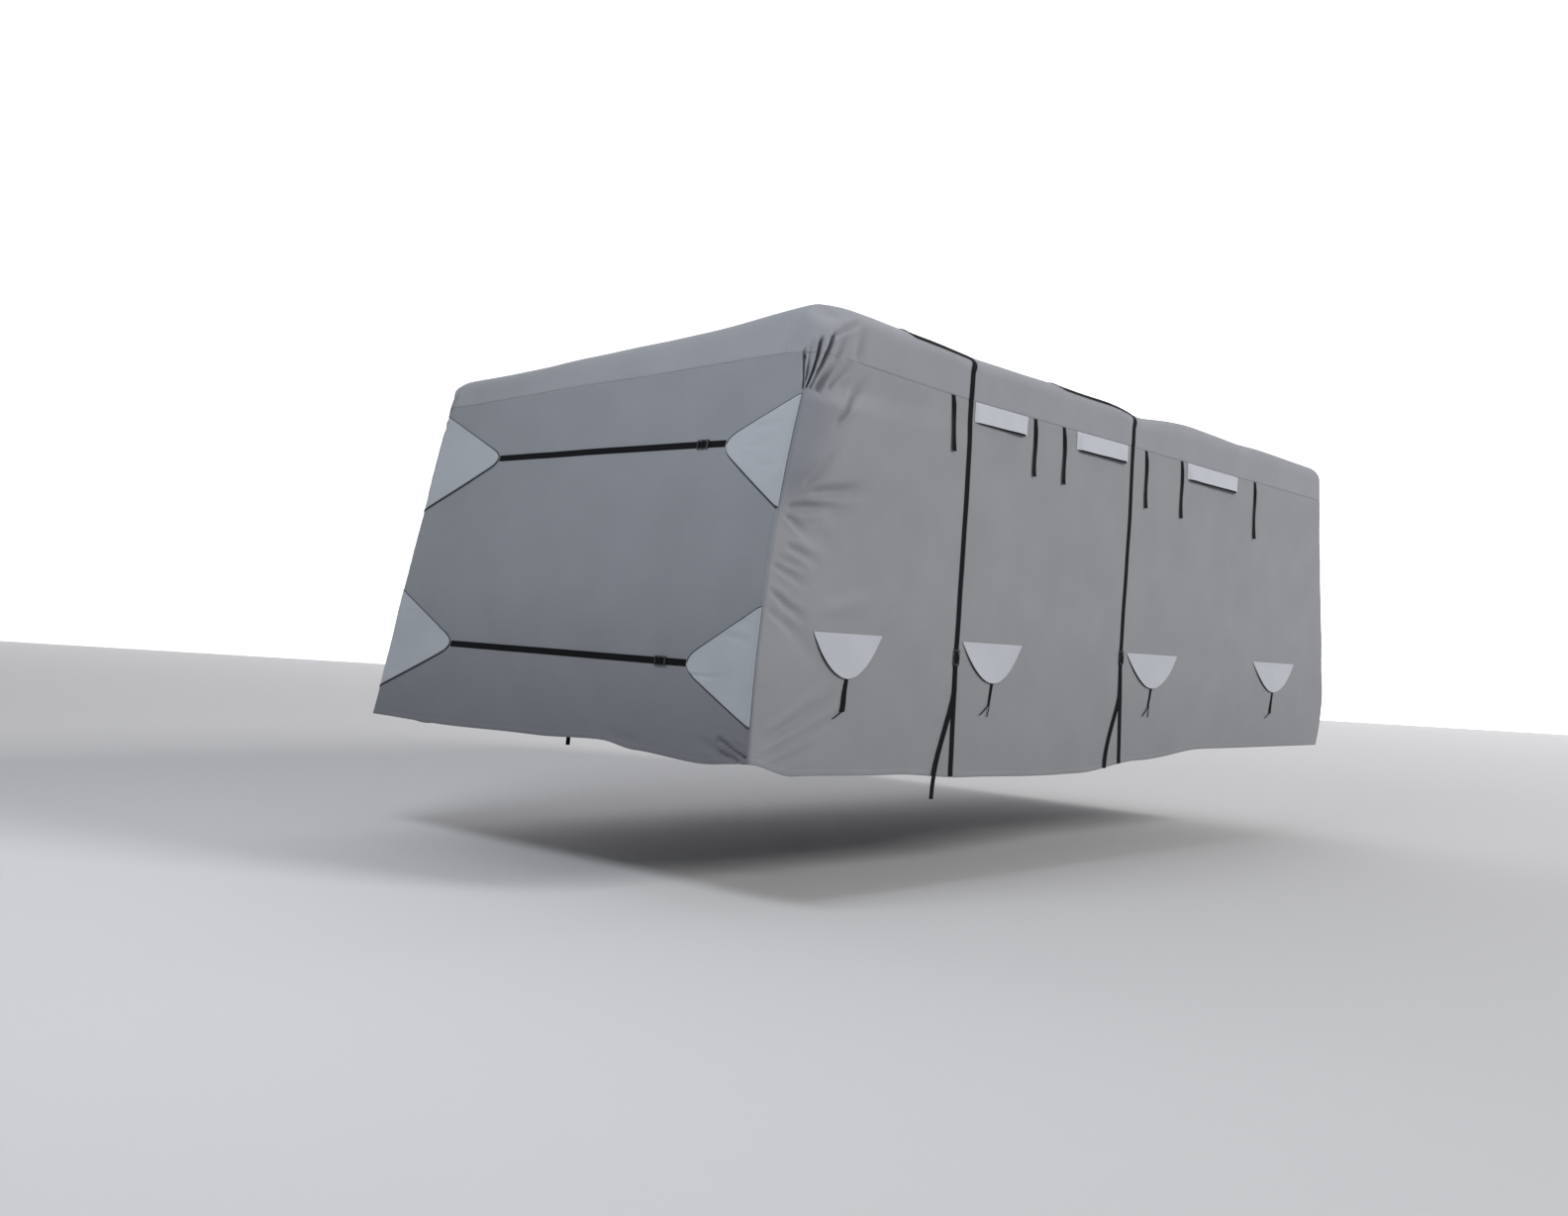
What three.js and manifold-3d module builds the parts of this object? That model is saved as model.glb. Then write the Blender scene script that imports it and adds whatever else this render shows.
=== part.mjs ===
// A fitted caravan cover, in the shape that it has in use: five cloth panels, the corner patches
// with their tension straps, two straps over the top, vent hoods, hanging ties and pull patches.
// Millimetres, +Z up. The leaning nose faces -Y and the side with the visible fittings faces +X.
// Heights in this file count from the hem at the nose corners. The last lines lower the whole
// group, so that its origin is under the middle of the roof cloth, where the cover is carried.

import * as THREE from 'three';
import { mergeVertices } from 'three/addons/utils/BufferGeometryUtils.js';
import Module from 'manifold-3d';

const wasm = await Module();
wasm.setup();

// Overall size
const WIDTH = 2600;
const LENGTH = 6300;
const EAVE_HEIGHT = 1983;
const SEAM_HEIGHT = 1742;
const HALF = WIDTH / 2;
const NOSE_FOOT = -LENGTH / 2;

// Cloth and webbing
const CLOTH = 2;
const WEBBING = 1.8;
const GAP = 0.3;
const ROOF_STRAP_WIDTH = 38;
const NOSE_STRAP_WIDTH = 30;
const TIE_WIDTH = 25;

// Rounding of the eaves and of the upright corners
const EAVE_RADIUS = 95;
const CORNER_RADIUS = 25;
const ROOF_CROWN = 45;
const CROWN_START = 500;

// The nose leans back towards the roof and bows out, most at the right (+X) corner. The hem of
// its left corner is pulled forward.
const NOSE_LEAN = 346;
const NOSE_BOW = { right: 347, left: 0 };
const NOSE_PULL = 110;
// The tail leans the other way above its foot, and the hem tucks in below it
const TAIL_SLOPE = 0.163;
const TAIL_FOOT = 330;
const TAIL_TUCK = 85;

// Low swells and dips of the roof edge and of the seam below it
const ROOF_SWELLS = [
  { x: HALF, y: -2750, reach: 430, rise: 40 },
  { x: HALF, y: -2150, reach: 480, rise: 22 },
  { x: HALF, y: 200, reach: 300, rise: -36 },
  { x: HALF, y: 950, reach: 420, rise: 10 },
  { x: -HALF, y: -2800, reach: 1700, rise: -102 },
];
const SEAM_SWELLS = [
  { x: HALF, y: -2850, reach: 700, rise: 26 },
  { x: -HALF, y: -2850, reach: 900, rise: -32 },
];

// The hem of a side drops between its corners
const SIDE_HEM = [
  { y: -3150, drop: 0 },
  { y: -2850, drop: 56 },
  { y: -2130, drop: 68 },
  { y: -1500, drop: 98 },
  { y: -700, drop: 110 },
  { y: -370, drop: 108 },
  { y: 320, drop: 53 },
  { y: 1150, drop: 0 },
  { y: 3150, drop: 0 },
];
const NOSE_HEM = [
  { x: -1300, drop: 0 },
  { x: -700, drop: 8 },
  { x: 0, drop: -4 },
  { x: 450, drop: -23 },
  { x: 660, drop: 2 },
  { x: 1040, drop: 21 },
  { x: 1300, drop: 0 },
];

// Tension folds that fan out from the points where the nose patches pull on the side cloth.
// Each is a soft trough from its root (y, z), dy and dz long, wide at its far end.
const FOLD_ROOTS = {
  upperPatchTop: { y: -2870, z: 1580 },
  upperPatchFoot: { y: -3000, z: 1076 },
  lowerPatchTop: { y: -3010, z: 640 },
};
const FOLD_LIMIT = 16;
// The width of a fold at its root, as a share of its full width, and how near its root it is deepest
const FOLD_SHAPE = { root: 0.45, lead: 0.7 };
const SIDE_FOLDS = [
  { root: 'upperPatchTop', dy: 40, dz: 230, width: 120, depth: 14 },
  { root: 'upperPatchTop', dy: 210, dz: 280, width: 130, depth: 18 },
  { root: 'upperPatchTop', dy: 360, dz: 100, width: 130, depth: 11 },
  { root: 'upperPatchFoot', dy: 480, dz: 150, width: 130, depth: 14 },
  { root: 'upperPatchFoot', dy: 400, dz: -170, width: 130, depth: 13 },
  { root: 'lowerPatchTop', dy: 350, dz: 300, width: 130, depth: 12 },
  { root: 'lowerPatchTop', dy: 440, dz: -300, width: 140, depth: 10 },
];

// Pull patches on the nose: base along the corner seam, round tip inwards. The straight sides
// would meet beyond the tip.
const NOSE_PATCHES = [
  { name: 'patch_upper_right', side: 1, top: 1568, tip: { x: 922, z: 1369 }, foot: 1073 },
  { name: 'patch_lower_right', side: 1, top: 653, tip: { x: 912, z: 398 }, foot: 152 },
  { name: 'patch_upper_left', side: -1, top: 1664, tip: { x: -706, z: 1387 }, foot: 1120 },
  { name: 'patch_lower_left', side: -1, top: 677, tip: { x: -752, z: 404 }, foot: 150 },
];
const PATCH_TIP = { beyond: 45, round: 105, clear: 1, points: 5 };
const PATCH_BASE = HALF - 8;
// Each strap runs straight between the tips of two patches, given by their rows in the table
// above, and its buckle lies on that line
const NOSE_BUCKLES = [
  { name: 'nose_buckle_upper', strap: 'nose_strap_upper', x: 787, from: 2, to: 0 },
  { name: 'nose_buckle_lower', strap: 'nose_strap_lower', x: 764, from: 3, to: 1 },
];
const NOSE_BUCKLE = { long: 70, wide: 42, thick: 9, corner: 6, clear: 1 };

// Straps over the roof: the height of the buckle, and y at the eave, at the buckle, at the sewn
// end and at the free end.
// On the roof they lie slack: from the eave they have slipped forward, and they cross the roof
// in a wide bow. Outwards counts from the flat middle, in eave arcs.
const ROOF_STRAPS = [
  {
    name: 'roof_strap_front', buckle: 487, drawn: 540,
    eave: -1640, foot: -1664, sewn: -1654, free: { y: -1816, z: -193 },
  },
  {
    name: 'roof_strap_rear', buckle: 536, drawn: 850,
    eave: 38, foot: 26, sewn: 64, free: { y: -111, z: -88 },
  },
];
// A roof strap has slipped forward along each eave: by a way in mm and a share of what is drawn
const STRAP_SLIP = [
  { outwards: 1.0, forward: 0, share: 0 },
  { outwards: 0.85, forward: -14, share: 0 },
  { outwards: 0.69, forward: -28, share: 0 },
  { outwards: 0.57, forward: -23, share: 0 },
  { outwards: 0.48, forward: -10, share: 0 },
  { outwards: 0.45, forward: 8, share: 0 },
  { outwards: 0.45, forward: 0, share: 0.86 },
  { outwards: 0.36, forward: 0, share: 0.9 },
  { outwards: 0.2, forward: 0, share: 0.945 },
  { outwards: -0.5, forward: 0, share: 0.985 },
];
const STRAP_BOW = [
  { x: -1010, share: 1.0 },
  { x: -720, share: 1.03 },
  { x: 0, share: 1.06 },
  { x: 720, share: 1.03 },
  { x: 1010, share: 1.0 },
];
const SIDE_BUCKLE = { long: 78, wide: 46, thick: 9, clear: 1 };
// The free tail leaves the sewn leg at a height, and swings away from it as a power of a sine
const TAIL = { split: 330, width: 0.85 * ROOF_STRAP_WIDTH, swing: 1.4, rows: 6 };
const WRAP_FOOT = 430;
const HEM_CLEAR = 4;

// Ventilation hoods under the seam, y from and to
const VENTS = [
  { from: -1604, to: -1112 },
  { from: -598, to: -24 },
  { from: 752, to: 1490 },
];
const VENT = { tall: 100, deep: 22 };

// Ties that hang from the seam, with the length of each
const TIES = [
  { y: -1800, long: 270 },
  { y: -1037, long: 298 },
  { y: -736, long: 304 },
  { y: 210, long: 332 },
  { y: 676, long: 344 },
  { y: 1752, long: 372 },
];
// A tie bows sideways over a part of a half wave, and its end stands off the wall
const TIE_HANG = { bow: 9, part: 0.7, off: 5, rows: 6 };

// Pull patches low on the side, each with a doubled tie and its free strings
const PULLS = [
  {
    from: -2769, to: -2271, tie: { lean: -22, long: 146, wide: 24, end: 34 },
    strings: [{ lean: -62, drop: 30 }],
  },
  {
    from: -1612, to: -1042, tie: { lean: -24, long: 108, wide: 24, end: 13 },
    strings: [{ lean: -80, drop: 50 }, { lean: -14, drop: 58 }],
  },
  {
    from: 96, to: 739, tie: { lean: -31, long: 106, wide: 24, end: 13 },
    strings: [{ lean: -72, drop: 56 }, { lean: -4, drop: 62 }],
  },
  {
    from: 1854, to: 2569, tie: { lean: -40, long: 142, wide: 24, end: 34 },
    strings: [{ lean: -84, drop: 30 }],
  },
];
const PULL = { top: 566, foot: 367, points: 12 };
const PULL_TIE = { off: 3, rows: 4 };
const STRING = { diameter: 5, sides: 8, steps: 8, points: 4, curl: 1.2 };

const COLOURS = {
  roof: '#8f9197',
  side: '#86888c',
  nose: '#787c84',
  patch: '#989da5',
  light: '#b4b7bd',
  webbing: '#1d1f21',
  buckle: '#141516',
};
const ROUGHNESS = { cloth: 0.9, buckle: 0.45 };

// Small helpers

const bell = (distance, reach) => Math.exp(-((distance / reach) ** 2));
const range = (count) => Array.from({ length: count }, (_, i) => i);
const mix = (from, to, share) => from + (to - from) * share;

// Evenly spaced values from one number to another, both ends included
const steps = (from, to, count) => range(count + 1).map((i) => mix(from, to, i / count));

// Reads a table with a smooth rise or fall between its rows
function ease(table, key, value, at) {
  const next = table.findIndex((row) => row[key] >= at);
  if (next === 0) return table[0][value];
  if (next < 0) return table[table.length - 1][value];
  const low = table[next - 1];
  const high = table[next];
  const share = (at - low[key]) / (high[key] - low[key]);
  return low[value] + (high[value] - low[value]) * THREE.MathUtils.smoothstep(share, 0, 1);
}

function swell(table, x, y) {
  let rise = 0;
  for (const s of table) rise += s.rise * bell(Math.hypot(x - s.x, y - s.y), s.reach);
  return rise;
}

// The shape of the hung cover

const eaveHeight = (x, y) => EAVE_HEIGHT + swell(ROOF_SWELLS, x, y);
const seamHeight = (x, y) => SEAM_HEIGHT + swell(SEAM_SWELLS, x, y);

function noseY(x, z) {
  const share = (x / HALF + 1) / 2;
  const bow = mix(NOSE_BOW.left, NOSE_BOW.right, share);
  const pull = NOSE_PULL * (1 - share);
  const t = z / EAVE_HEIGHT;
  return NOSE_FOOT - pull + (NOSE_LEAN + pull) * t + bow * t * (t - 1);
}

function tailY(z) {
  if (z > TAIL_FOOT) return LENGTH / 2 - TAIL_SLOPE * (z - TAIL_FOOT);
  return LENGTH / 2 - TAIL_TUCK * ((TAIL_FOOT - z) / TAIL_FOOT) ** 2;
}

// How far the folds of a side take its cloth in, at a place (y, z)
function foldDepth(y, z) {
  let depth = 0;
  for (const fold of SIDE_FOLDS) {
    const root = FOLD_ROOTS[fold.root];
    const long = Math.hypot(fold.dy, fold.dz);
    const along = ((y - root.y) * fold.dy + (z - root.z) * fold.dz) / long;
    const across = ((y - root.y) * fold.dz - (z - root.z) * fold.dy) / long;
    const share = along / long;
    if (share < 0 || share > 1) continue;
    const width = fold.width * mix(FOLD_SHAPE.root, 1, share);
    depth += fold.depth * Math.sin(Math.PI * share ** FOLD_SHAPE.lead) * bell(across, width / 2);
  }
  return FOLD_LIMIT * Math.tanh(depth / FOLD_LIMIT);
}

// A station is an upright line of the wall: its place at a height, and the way it faces.

// End -1 is the nose and end 1 the tail.
const endY = (end, x, z) => (end < 0 ? noseY(x, z) : tailY(z));
const endStation = (end, x) => ({ at: (z) => [x, endY(end, x, z)], out: [0, end] });

// Turn 0 faces sideways and 90 faces the end
function cornerStation(side, end, turn) {
  const angle = THREE.MathUtils.degToRad(turn);
  const out = [side * Math.cos(angle), end * Math.sin(angle)];
  const at = (z) => {
    const x = side * (HALF - CORNER_RADIUS);
    const y = endY(end, x, z) - end * CORNER_RADIUS;
    return [x + CORNER_RADIUS * out[0], y + CORNER_RADIUS * out[1]];
  };
  return { at, out };
}

function sideStation(side, share) {
  const start = cornerStation(side, -1, 0);
  const finish = cornerStation(side, 1, 0);
  const at = (z) => [side * HALF, start.at(z)[1] + share * (finish.at(z)[1] - start.at(z)[1])];
  return { at, out: [side, 0] };
}

// One vertex of the wall, with its normal, and its place on the flat cloth as [across, height].
// The share is how much of the folds it takes.
function wallVertex(station, z, flat, share = 1) {
  const [x, y] = station.at(z);
  const [xUp, yUp] = station.at(z + 1);
  const normal = new THREE.Vector3(station.out[0], station.out[1], 0);
  normal.z = -(normal.x * (xUp - x) + normal.y * (yUp - y));
  normal.normalize();
  const depth = share * Math.abs(station.out[0]) * foldDepth(y, z);
  const point = new THREE.Vector3(x, y, z).addScaledVector(normal, -depth);
  return { point, normal, flat };
}

// Skins: a skin is a surface of cloth, whose vertices know their normals and flat places

const newSkin = () => ({ vertices: [], faces: [] });
const MERGE_DISTANCE = 0.01;

function addVertex(skin, vertex) {
  const same = (v) => v.point.distanceToSquared(vertex.point) < MERGE_DISTANCE ** 2;
  const found = skin.vertices.findIndex(same);
  if (found >= 0) return found;
  skin.vertices.push(vertex);
  return skin.vertices.length - 1;
}

// Adds a triangle, turned so that it faces the way its normals do
function addFace(skin, a, b, c) {
  if (a === b || b === c || c === a) return;
  const [p, q, r] = [a, b, c].map((i) => skin.vertices[i].point);
  const across = new THREE.Vector3().crossVectors(q.clone().sub(p), r.clone().sub(p));
  const facing = across.dot(skin.vertices[a].normal) > 0;
  skin.faces.push(facing ? [a, b, c] : [a, c, b]);
}

// Rows of vertices become a skin of triangles
function addGrid(skin, rows) {
  const ids = rows.map((row) => row.map((vertex) => addVertex(skin, vertex)));
  for (let j = 0; j < ids.length - 1; j += 1) {
    for (let i = 0; i < ids[j].length - 1; i += 1) {
      addFace(skin, ids[j][i], ids[j][i + 1], ids[j + 1][i + 1]);
      addFace(skin, ids[j][i], ids[j + 1][i + 1], ids[j + 1][i]);
    }
  }
  return skin;
}

// The closed solid between two distances from a skin, along its normals
function shell(skin, low, high) {
  const count = skin.vertices.length;
  const positions = [];
  for (const distance of [high, low]) {
    for (const { point, normal } of skin.vertices) {
      positions.push(...point.clone().addScaledVector(normal, distance).toArray());
    }
  }
  const edges = new Set();
  const triangles = [];
  for (const [a, b, c] of skin.faces) {
    triangles.push([a, b, c], [a + count, c + count, b + count]);
    for (const edge of [[a, b], [b, c], [c, a]]) edges.add(edge.join(' '));
  }
  for (const edge of edges) {
    const [a, b] = edge.split(' ').map(Number);
    if (edges.has(`${b} ${a}`)) continue;
    triangles.push([b, a, a + count], [b, a + count, b + count]);
  }
  return meshGeometry(positions, triangles.flat());
}

function meshGeometry(positions, index) {
  const geometry = new THREE.BufferGeometry();
  geometry.setAttribute('position', new THREE.Float32BufferAttribute(positions, 3));
  geometry.setIndex(index);
  geometry.computeVertexNormals();
  return geometry;
}

// Cutting pieces that lie on a skin

const turnOf = ([ax, ay], [bx, by], [cx, cy]) => (bx - ax) * (cy - ay) - (by - ay) * (cx - ax);

// The part of a convex cell that lies inside a triangle, both on the flat cloth
function clip(cell, triangle) {
  let polygon = cell;
  for (let k = 0; k < 3; k += 1) {
    const a = triangle[k];
    const b = triangle[(k + 1) % 3];
    const kept = [];
    polygon.forEach((p, i) => {
      const q = polygon[(i + 1) % polygon.length];
      const dp = turnOf(a, b, p);
      const dq = turnOf(a, b, q);
      if (dp >= 0) kept.push(p);
      if ((dp > 0 && dq < 0) || (dp < 0 && dq > 0)) {
        const s = dp / (dp - dq);
        kept.push([p[0] + s * (q[0] - p[0]), p[1] + s * (q[1] - p[1])]);
      }
    });
    polygon = kept;
  }
  return polygon;
}

// The vertex of a triangle of a skin at a flat place inside it
function vertexInside(corners, place) {
  const [a, b, c] = corners.map((v) => v.flat);
  const whole = turnOf(a, b, c);
  const shares = [turnOf(b, c, place), turnOf(c, a, place), turnOf(a, b, place)];
  const point = new THREE.Vector3();
  const normal = new THREE.Vector3();
  corners.forEach((corner, k) => {
    point.addScaledVector(corner.point, shares[k] / whole);
    normal.addScaledVector(corner.normal, shares[k] / whole);
  });
  return { point, normal, flat: place };
}

// The vertex of a skin at a flat place
function vertexAt(skin, place) {
  const holds = (corners) => {
    const [a, b, c] = corners.map((v) => v.flat);
    const turns = [turnOf(b, c, place), turnOf(c, a, place), turnOf(a, b, place)];
    return Math.min(...turns) >= 0 || Math.max(...turns) <= 0;
  };
  const faces = skin.faces.map((face) => face.map((i) => skin.vertices[i]));
  return vertexInside(faces.find(holds), place);
}

// Cuts convex cells of the flat cloth out of a skin
function cutSkin(skin, cells) {
  const piece = newSkin();
  for (const face of skin.faces) {
    let corners = face.map((i) => skin.vertices[i]);
    if (turnOf(...corners.map((v) => v.flat)) < 0) corners = corners.reverse();
    for (const cell of cells) {
      const polygon = clip(cell, corners.map((v) => v.flat));
      if (polygon.length < 3) continue;
      const ids = polygon.map((place) => addVertex(piece, vertexInside(corners, place)));
      for (let i = 1; i < ids.length - 1; i += 1) addFace(piece, ids[0], ids[i], ids[i + 1]);
    }
  }
  return piece;
}

// The cells of a strip of even width along a path on the flat cloth
function ribbonCells(path, width) {
  const edges = path.map((place, i) => {
    const before = path[Math.max(i - 1, 0)];
    const after = path[Math.min(i + 1, path.length - 1)];
    const direction = new THREE.Vector2(after[0] - before[0], after[1] - before[1]).normalize();
    const [dx, dy] = [(-direction.y * width) / 2, (direction.x * width) / 2];
    return [[place[0] + dx, place[1] + dy], [place[0] - dx, place[1] - dy]];
  });
  const cells = [];
  for (let i = 0; i < edges.length - 1; i += 1) {
    cells.push([edges[i][0], edges[i][1], edges[i + 1][1], edges[i + 1][0]]);
  }
  return cells;
}

// Panels. Shares run from -1 to 1 across the cover and from 0 to 1 along it, and neighbouring
// panels use the same shares, so that their seams follow the same line.

const ACROSS = steps(-1, 1, 6);
const CORNER_TURNS = [0, 45, 90];
const WALL_ROWS = 12;

// The turn that half a gap takes at a corner seam, which lies halfway round the corner
const SEAM_TURN = 45;
const HALF_GAP_TURN = THREE.MathUtils.radToDeg(GAP / 2 / CORNER_RADIUS);

// Close together among the folds of the nose corner, then wider apart
const ALONG = [
  ...steps(0, 0.13, 12),
  ...steps(0.13, 0.7, 8).slice(1),
  ...steps(0.7, 1, 3).slice(1),
];

function sideSkin(side) {
  const turn = SEAM_TURN - HALF_GAP_TURN;
  const stations = [
    cornerStation(side, -1, turn),
    ...ALONG.map((share) => sideStation(side, share)),
    cornerStation(side, 1, turn),
  ];
  return wallSkin(stations, (x, y) => -ease(SIDE_HEM, 'y', 'drop', y), (x, y) => y);
}

function endSkin(end, hemHeight) {
  const turn = SEAM_TURN + HALF_GAP_TURN;
  const stations = [
    cornerStation(-1, end, turn),
    ...ACROSS.map((share) => endStation(end, share * (HALF - CORNER_RADIUS))),
    cornerStation(1, end, turn),
  ];
  return wallSkin(stations, hemHeight, (x) => x);
}

// The cloth between the hem and the seam along a row of stations
function wallSkin(stations, hemHeight, acrossPlace) {
  const rows = range(WALL_ROWS + 1).map((j) => stations.map((station) => {
    const hem = hemHeight(...station.at(0));
    const top = seamHeight(...station.at(SEAM_HEIGHT)) - GAP / 2;
    const z = mix(hem, top, j / WALL_ROWS);
    return wallVertex(station, z, [acrossPlace(...station.at(z)), z]);
  }));
  return addGrid(newSkin(), rows);
}

const noseSkin = () => endSkin(-1, (x) => -ease(NOSE_HEM, 'x', 'drop', x));
const tailSkin = () => endSkin(1, () => 0);

// The roof cloth: a flat middle, the rounded eave and the band that is turned down to the seam

const EAVE_TURNS = [0, 30, 60, 90];
const BAND_ROWS = 2;
const EAVE_ARC = (EAVE_RADIUS * Math.PI) / 2;
const MIDDLE_HALF = HALF - EAVE_RADIUS;
const MIDDLE_NOSE = NOSE_FOOT + NOSE_LEAN + EAVE_RADIUS;
const MIDDLE_TAIL = tailY(EAVE_HEIGHT) - EAVE_RADIUS;

// The height of the edge of the roof at two shares, before its crown
const edgeHeight = (across, along) => (
  eaveHeight(across * MIDDLE_HALF, mix(MIDDLE_NOSE, MIDDLE_TAIL, along))
);

// The place along the cover of a point of the roof that lies in from the walls
function placeAlong(across, along, z, radius, inset) {
  const start = noseY(across * (HALF - radius), z) + radius + inset;
  const finish = tailY(z) - radius - inset;
  return mix(start, finish, along);
}

function roofVertex(across, along) {
  const edge = edgeHeight(across, along);
  const x = across * MIDDLE_HALF;
  const y = placeAlong(across, along, edge, 0, EAVE_RADIUS);
  const fromEnd = Math.min(y - MIDDLE_NOSE, MIDDLE_TAIL - y);
  const crown = ROOF_CROWN * (1 - bell(Math.max(fromEnd, 0), CROWN_START));
  const slope = (-2 * crown * across) / MIDDLE_HALF;
  return {
    point: new THREE.Vector3(x, y, edge + crown * (1 - across ** 2)),
    normal: new THREE.Vector3(-slope, 0, 1).normalize(),
    flat: [x, y],
  };
}

// Rows of the eave and the band at a station: depth below the edge of the roof, inset from the
// wall, the angle that the cloth has turned down and its run from the flat middle
function bandRows(edge, station, foot) {
  const rounded = EAVE_TURNS.map((turn) => {
    const angle = THREE.MathUtils.degToRad(turn);
    const inset = EAVE_RADIUS * (1 - Math.sin(angle));
    const depth = EAVE_RADIUS * (1 - Math.cos(angle));
    return { inset, depth, run: EAVE_RADIUS * angle, angle };
  });
  const deep = edge - (seamHeight(...station.at(SEAM_HEIGHT)) + GAP / 2);
  const depths = [...steps(EAVE_RADIUS, deep, BAND_ROWS).slice(1), ...foot];
  const hanging = depths.map((depth) => (
    { inset: 0, depth, run: EAVE_ARC + depth - EAVE_RADIUS, angle: Math.PI / 2 }
  ));
  return [...rounded, ...hanging];
}

// A vertex of the eave or band: a wall vertex that is moved to its plan place and turned upwards
function bandVertex(station, row, z, place, flat) {
  const wall = wallVertex(station, z, flat, Math.sin(row.angle));
  const [x, y] = station.at(z);
  wall.point.add(new THREE.Vector3(place[0] - x, place[1] - y, 0));
  const up = new THREE.Vector3(0, 0, Math.cos(row.angle));
  wall.normal.multiplyScalar(Math.sin(row.angle)).add(up).normalize();
  return wall;
}

// The eave and band of one side at one place along it
function sideWing(side, along, foot = []) {
  const edge = edgeHeight(side, along);
  const station = sideStation(side, along);
  return bandRows(edge, station, foot).map((row) => {
    const z = edge - row.depth;
    const radius = CORNER_RADIUS * Math.sin(row.angle);
    const y = placeAlong(side, along, z, radius, row.inset);
    const flat = [side * (MIDDLE_HALF + row.run), y];
    return bandVertex(station, row, z, [side * (HALF - row.inset), y], flat);
  });
}

// The same at one place across an end
function endWing(end, across) {
  const along = (end + 1) / 2;
  const edge = edgeHeight(across, along);
  const station = endStation(end, across * (HALF - CORNER_RADIUS));
  return bandRows(edge, station, []).map((row) => {
    const z = edge - row.depth;
    const radius = CORNER_RADIUS * Math.sin(row.angle);
    const y = placeAlong(across, along, z, radius, row.inset) + end * radius;
    const x = across * (HALF - radius - row.inset);
    return bandVertex(station, row, z, [x, y], [x, y]);
  });
}

// The same at one turn round a corner; the rounding grows from nothing at the flat middle
function cornerWing(side, end, turn) {
  const along = (end + 1) / 2;
  const edge = edgeHeight(side, along);
  const angle = THREE.MathUtils.degToRad(turn);
  const station = cornerStation(side, end, turn);
  return bandRows(edge, station, []).map((row) => {
    const z = edge - row.depth;
    const radius = CORNER_RADIUS * Math.sin(row.angle);
    const x = side * (HALF - radius - row.inset + radius * Math.cos(angle));
    const y = placeAlong(side, along, z, radius, row.inset) + end * radius * Math.sin(angle);
    return bandVertex(station, row, z, [x, y], [x, y]);
  });
}

// One row across the roof cloth, from side to side; foot adds rows further down the sides
function acrossRow(along, foot) {
  const middle = ACROSS.map((across) => roofVertex(across, along));
  const [left, right] = [-1, 1].map((side) => sideWing(side, along, foot(side)).slice(1));
  return [...left.reverse(), ...middle, ...right];
}

function roofSkin() {
  const skin = newSkin();
  addGrid(skin, ALONG.map((along) => acrossRow(along, () => [])));
  for (const end of [-1, 1]) {
    addGrid(skin, ACROSS.map((across) => endWing(end, across)));
    for (const side of [-1, 1]) {
      addGrid(skin, CORNER_TURNS.map((turn) => cornerWing(side, end, turn)));
    }
  }
  return skin;
}

// Fittings on the nose

// A triangle with a round tip, base along the corner of the nose
function patchOutline(patch) {
  const tip = new THREE.Vector2(patch.tip.x - patch.side * PATCH_TIP.beyond, patch.tip.z);
  const top = new THREE.Vector2(patch.side * PATCH_BASE, patch.top);
  const foot = new THREE.Vector2(patch.side * PATCH_BASE, patch.foot);
  const round = [top, foot].map((end) => (
    tip.clone().add(end.clone().sub(tip).setLength(PATCH_TIP.round))
  ));
  const tipCurve = new THREE.QuadraticBezierCurve(round[0], tip, round[1]);
  const outline = [top, ...tipCurve.getPoints(PATCH_TIP.points), foot];
  return outline.map((p) => [p.x, p.y]);
}

function noseFittings(skin) {
  const pieces = [];
  for (const patch of NOSE_PATCHES) {
    const geometry = shell(cutSkin(skin, [patchOutline(patch)]), GAP, GAP + CLOTH);
    pieces.push(mesh(patch.name, geometry, 'patch'));
  }
  for (const buckle of NOSE_BUCKLES) {
    const [far, near] = [buckle.from, buckle.to].map((i) => NOSE_PATCHES[i].tip);
    const slope = (near.z - far.z) / (near.x - far.x);
    const place = (x) => [x, far.z + slope * (x - far.x)];
    const reach = NOSE_BUCKLE.long / 2 + GAP;
    const long = [place(far.x + PATCH_TIP.clear), place(buckle.x - reach)];
    const short = [place(buckle.x + reach), place(near.x - PATCH_TIP.clear)];
    [['long', long], ['short', short]].forEach(([part, path]) => {
      const cells = ribbonCells(path, NOSE_STRAP_WIDTH);
      const geometry = shell(cutSkin(skin, cells), GAP, GAP + WEBBING);
      pieces.push(mesh(`${buckle.strap}_${part}`, geometry, 'webbing'));
    });
    pieces.push(noseBuckle(buckle.name, place(buckle.x), slope));
  }
  return pieces;
}

const CURVE_SEGMENTS = 3;

// A plate with rounded corners, lying in the XY plane, standing thick along +Z
function plate(long, wide, thick, radius) {
  const shape = new THREE.Shape();
  const [a, b] = [long / 2, wide / 2];
  shape.moveTo(-a + radius, -b);
  shape.lineTo(a - radius, -b);
  shape.absarc(a - radius, -b + radius, radius, -Math.PI / 2, 0, false);
  shape.lineTo(a, b - radius);
  shape.absarc(a - radius, b - radius, radius, 0, Math.PI / 2, false);
  shape.lineTo(-a + radius, b);
  shape.absarc(-a + radius, b - radius, radius, Math.PI / 2, Math.PI, false);
  shape.lineTo(-a, -b + radius);
  shape.absarc(-a + radius, -b + radius, radius, Math.PI, 1.5 * Math.PI, false);
  const options = { depth: thick, bevelEnabled: false, curveSegments: CURVE_SEGMENTS };
  return new THREE.ExtrudeGeometry(shape, options);
}

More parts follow.
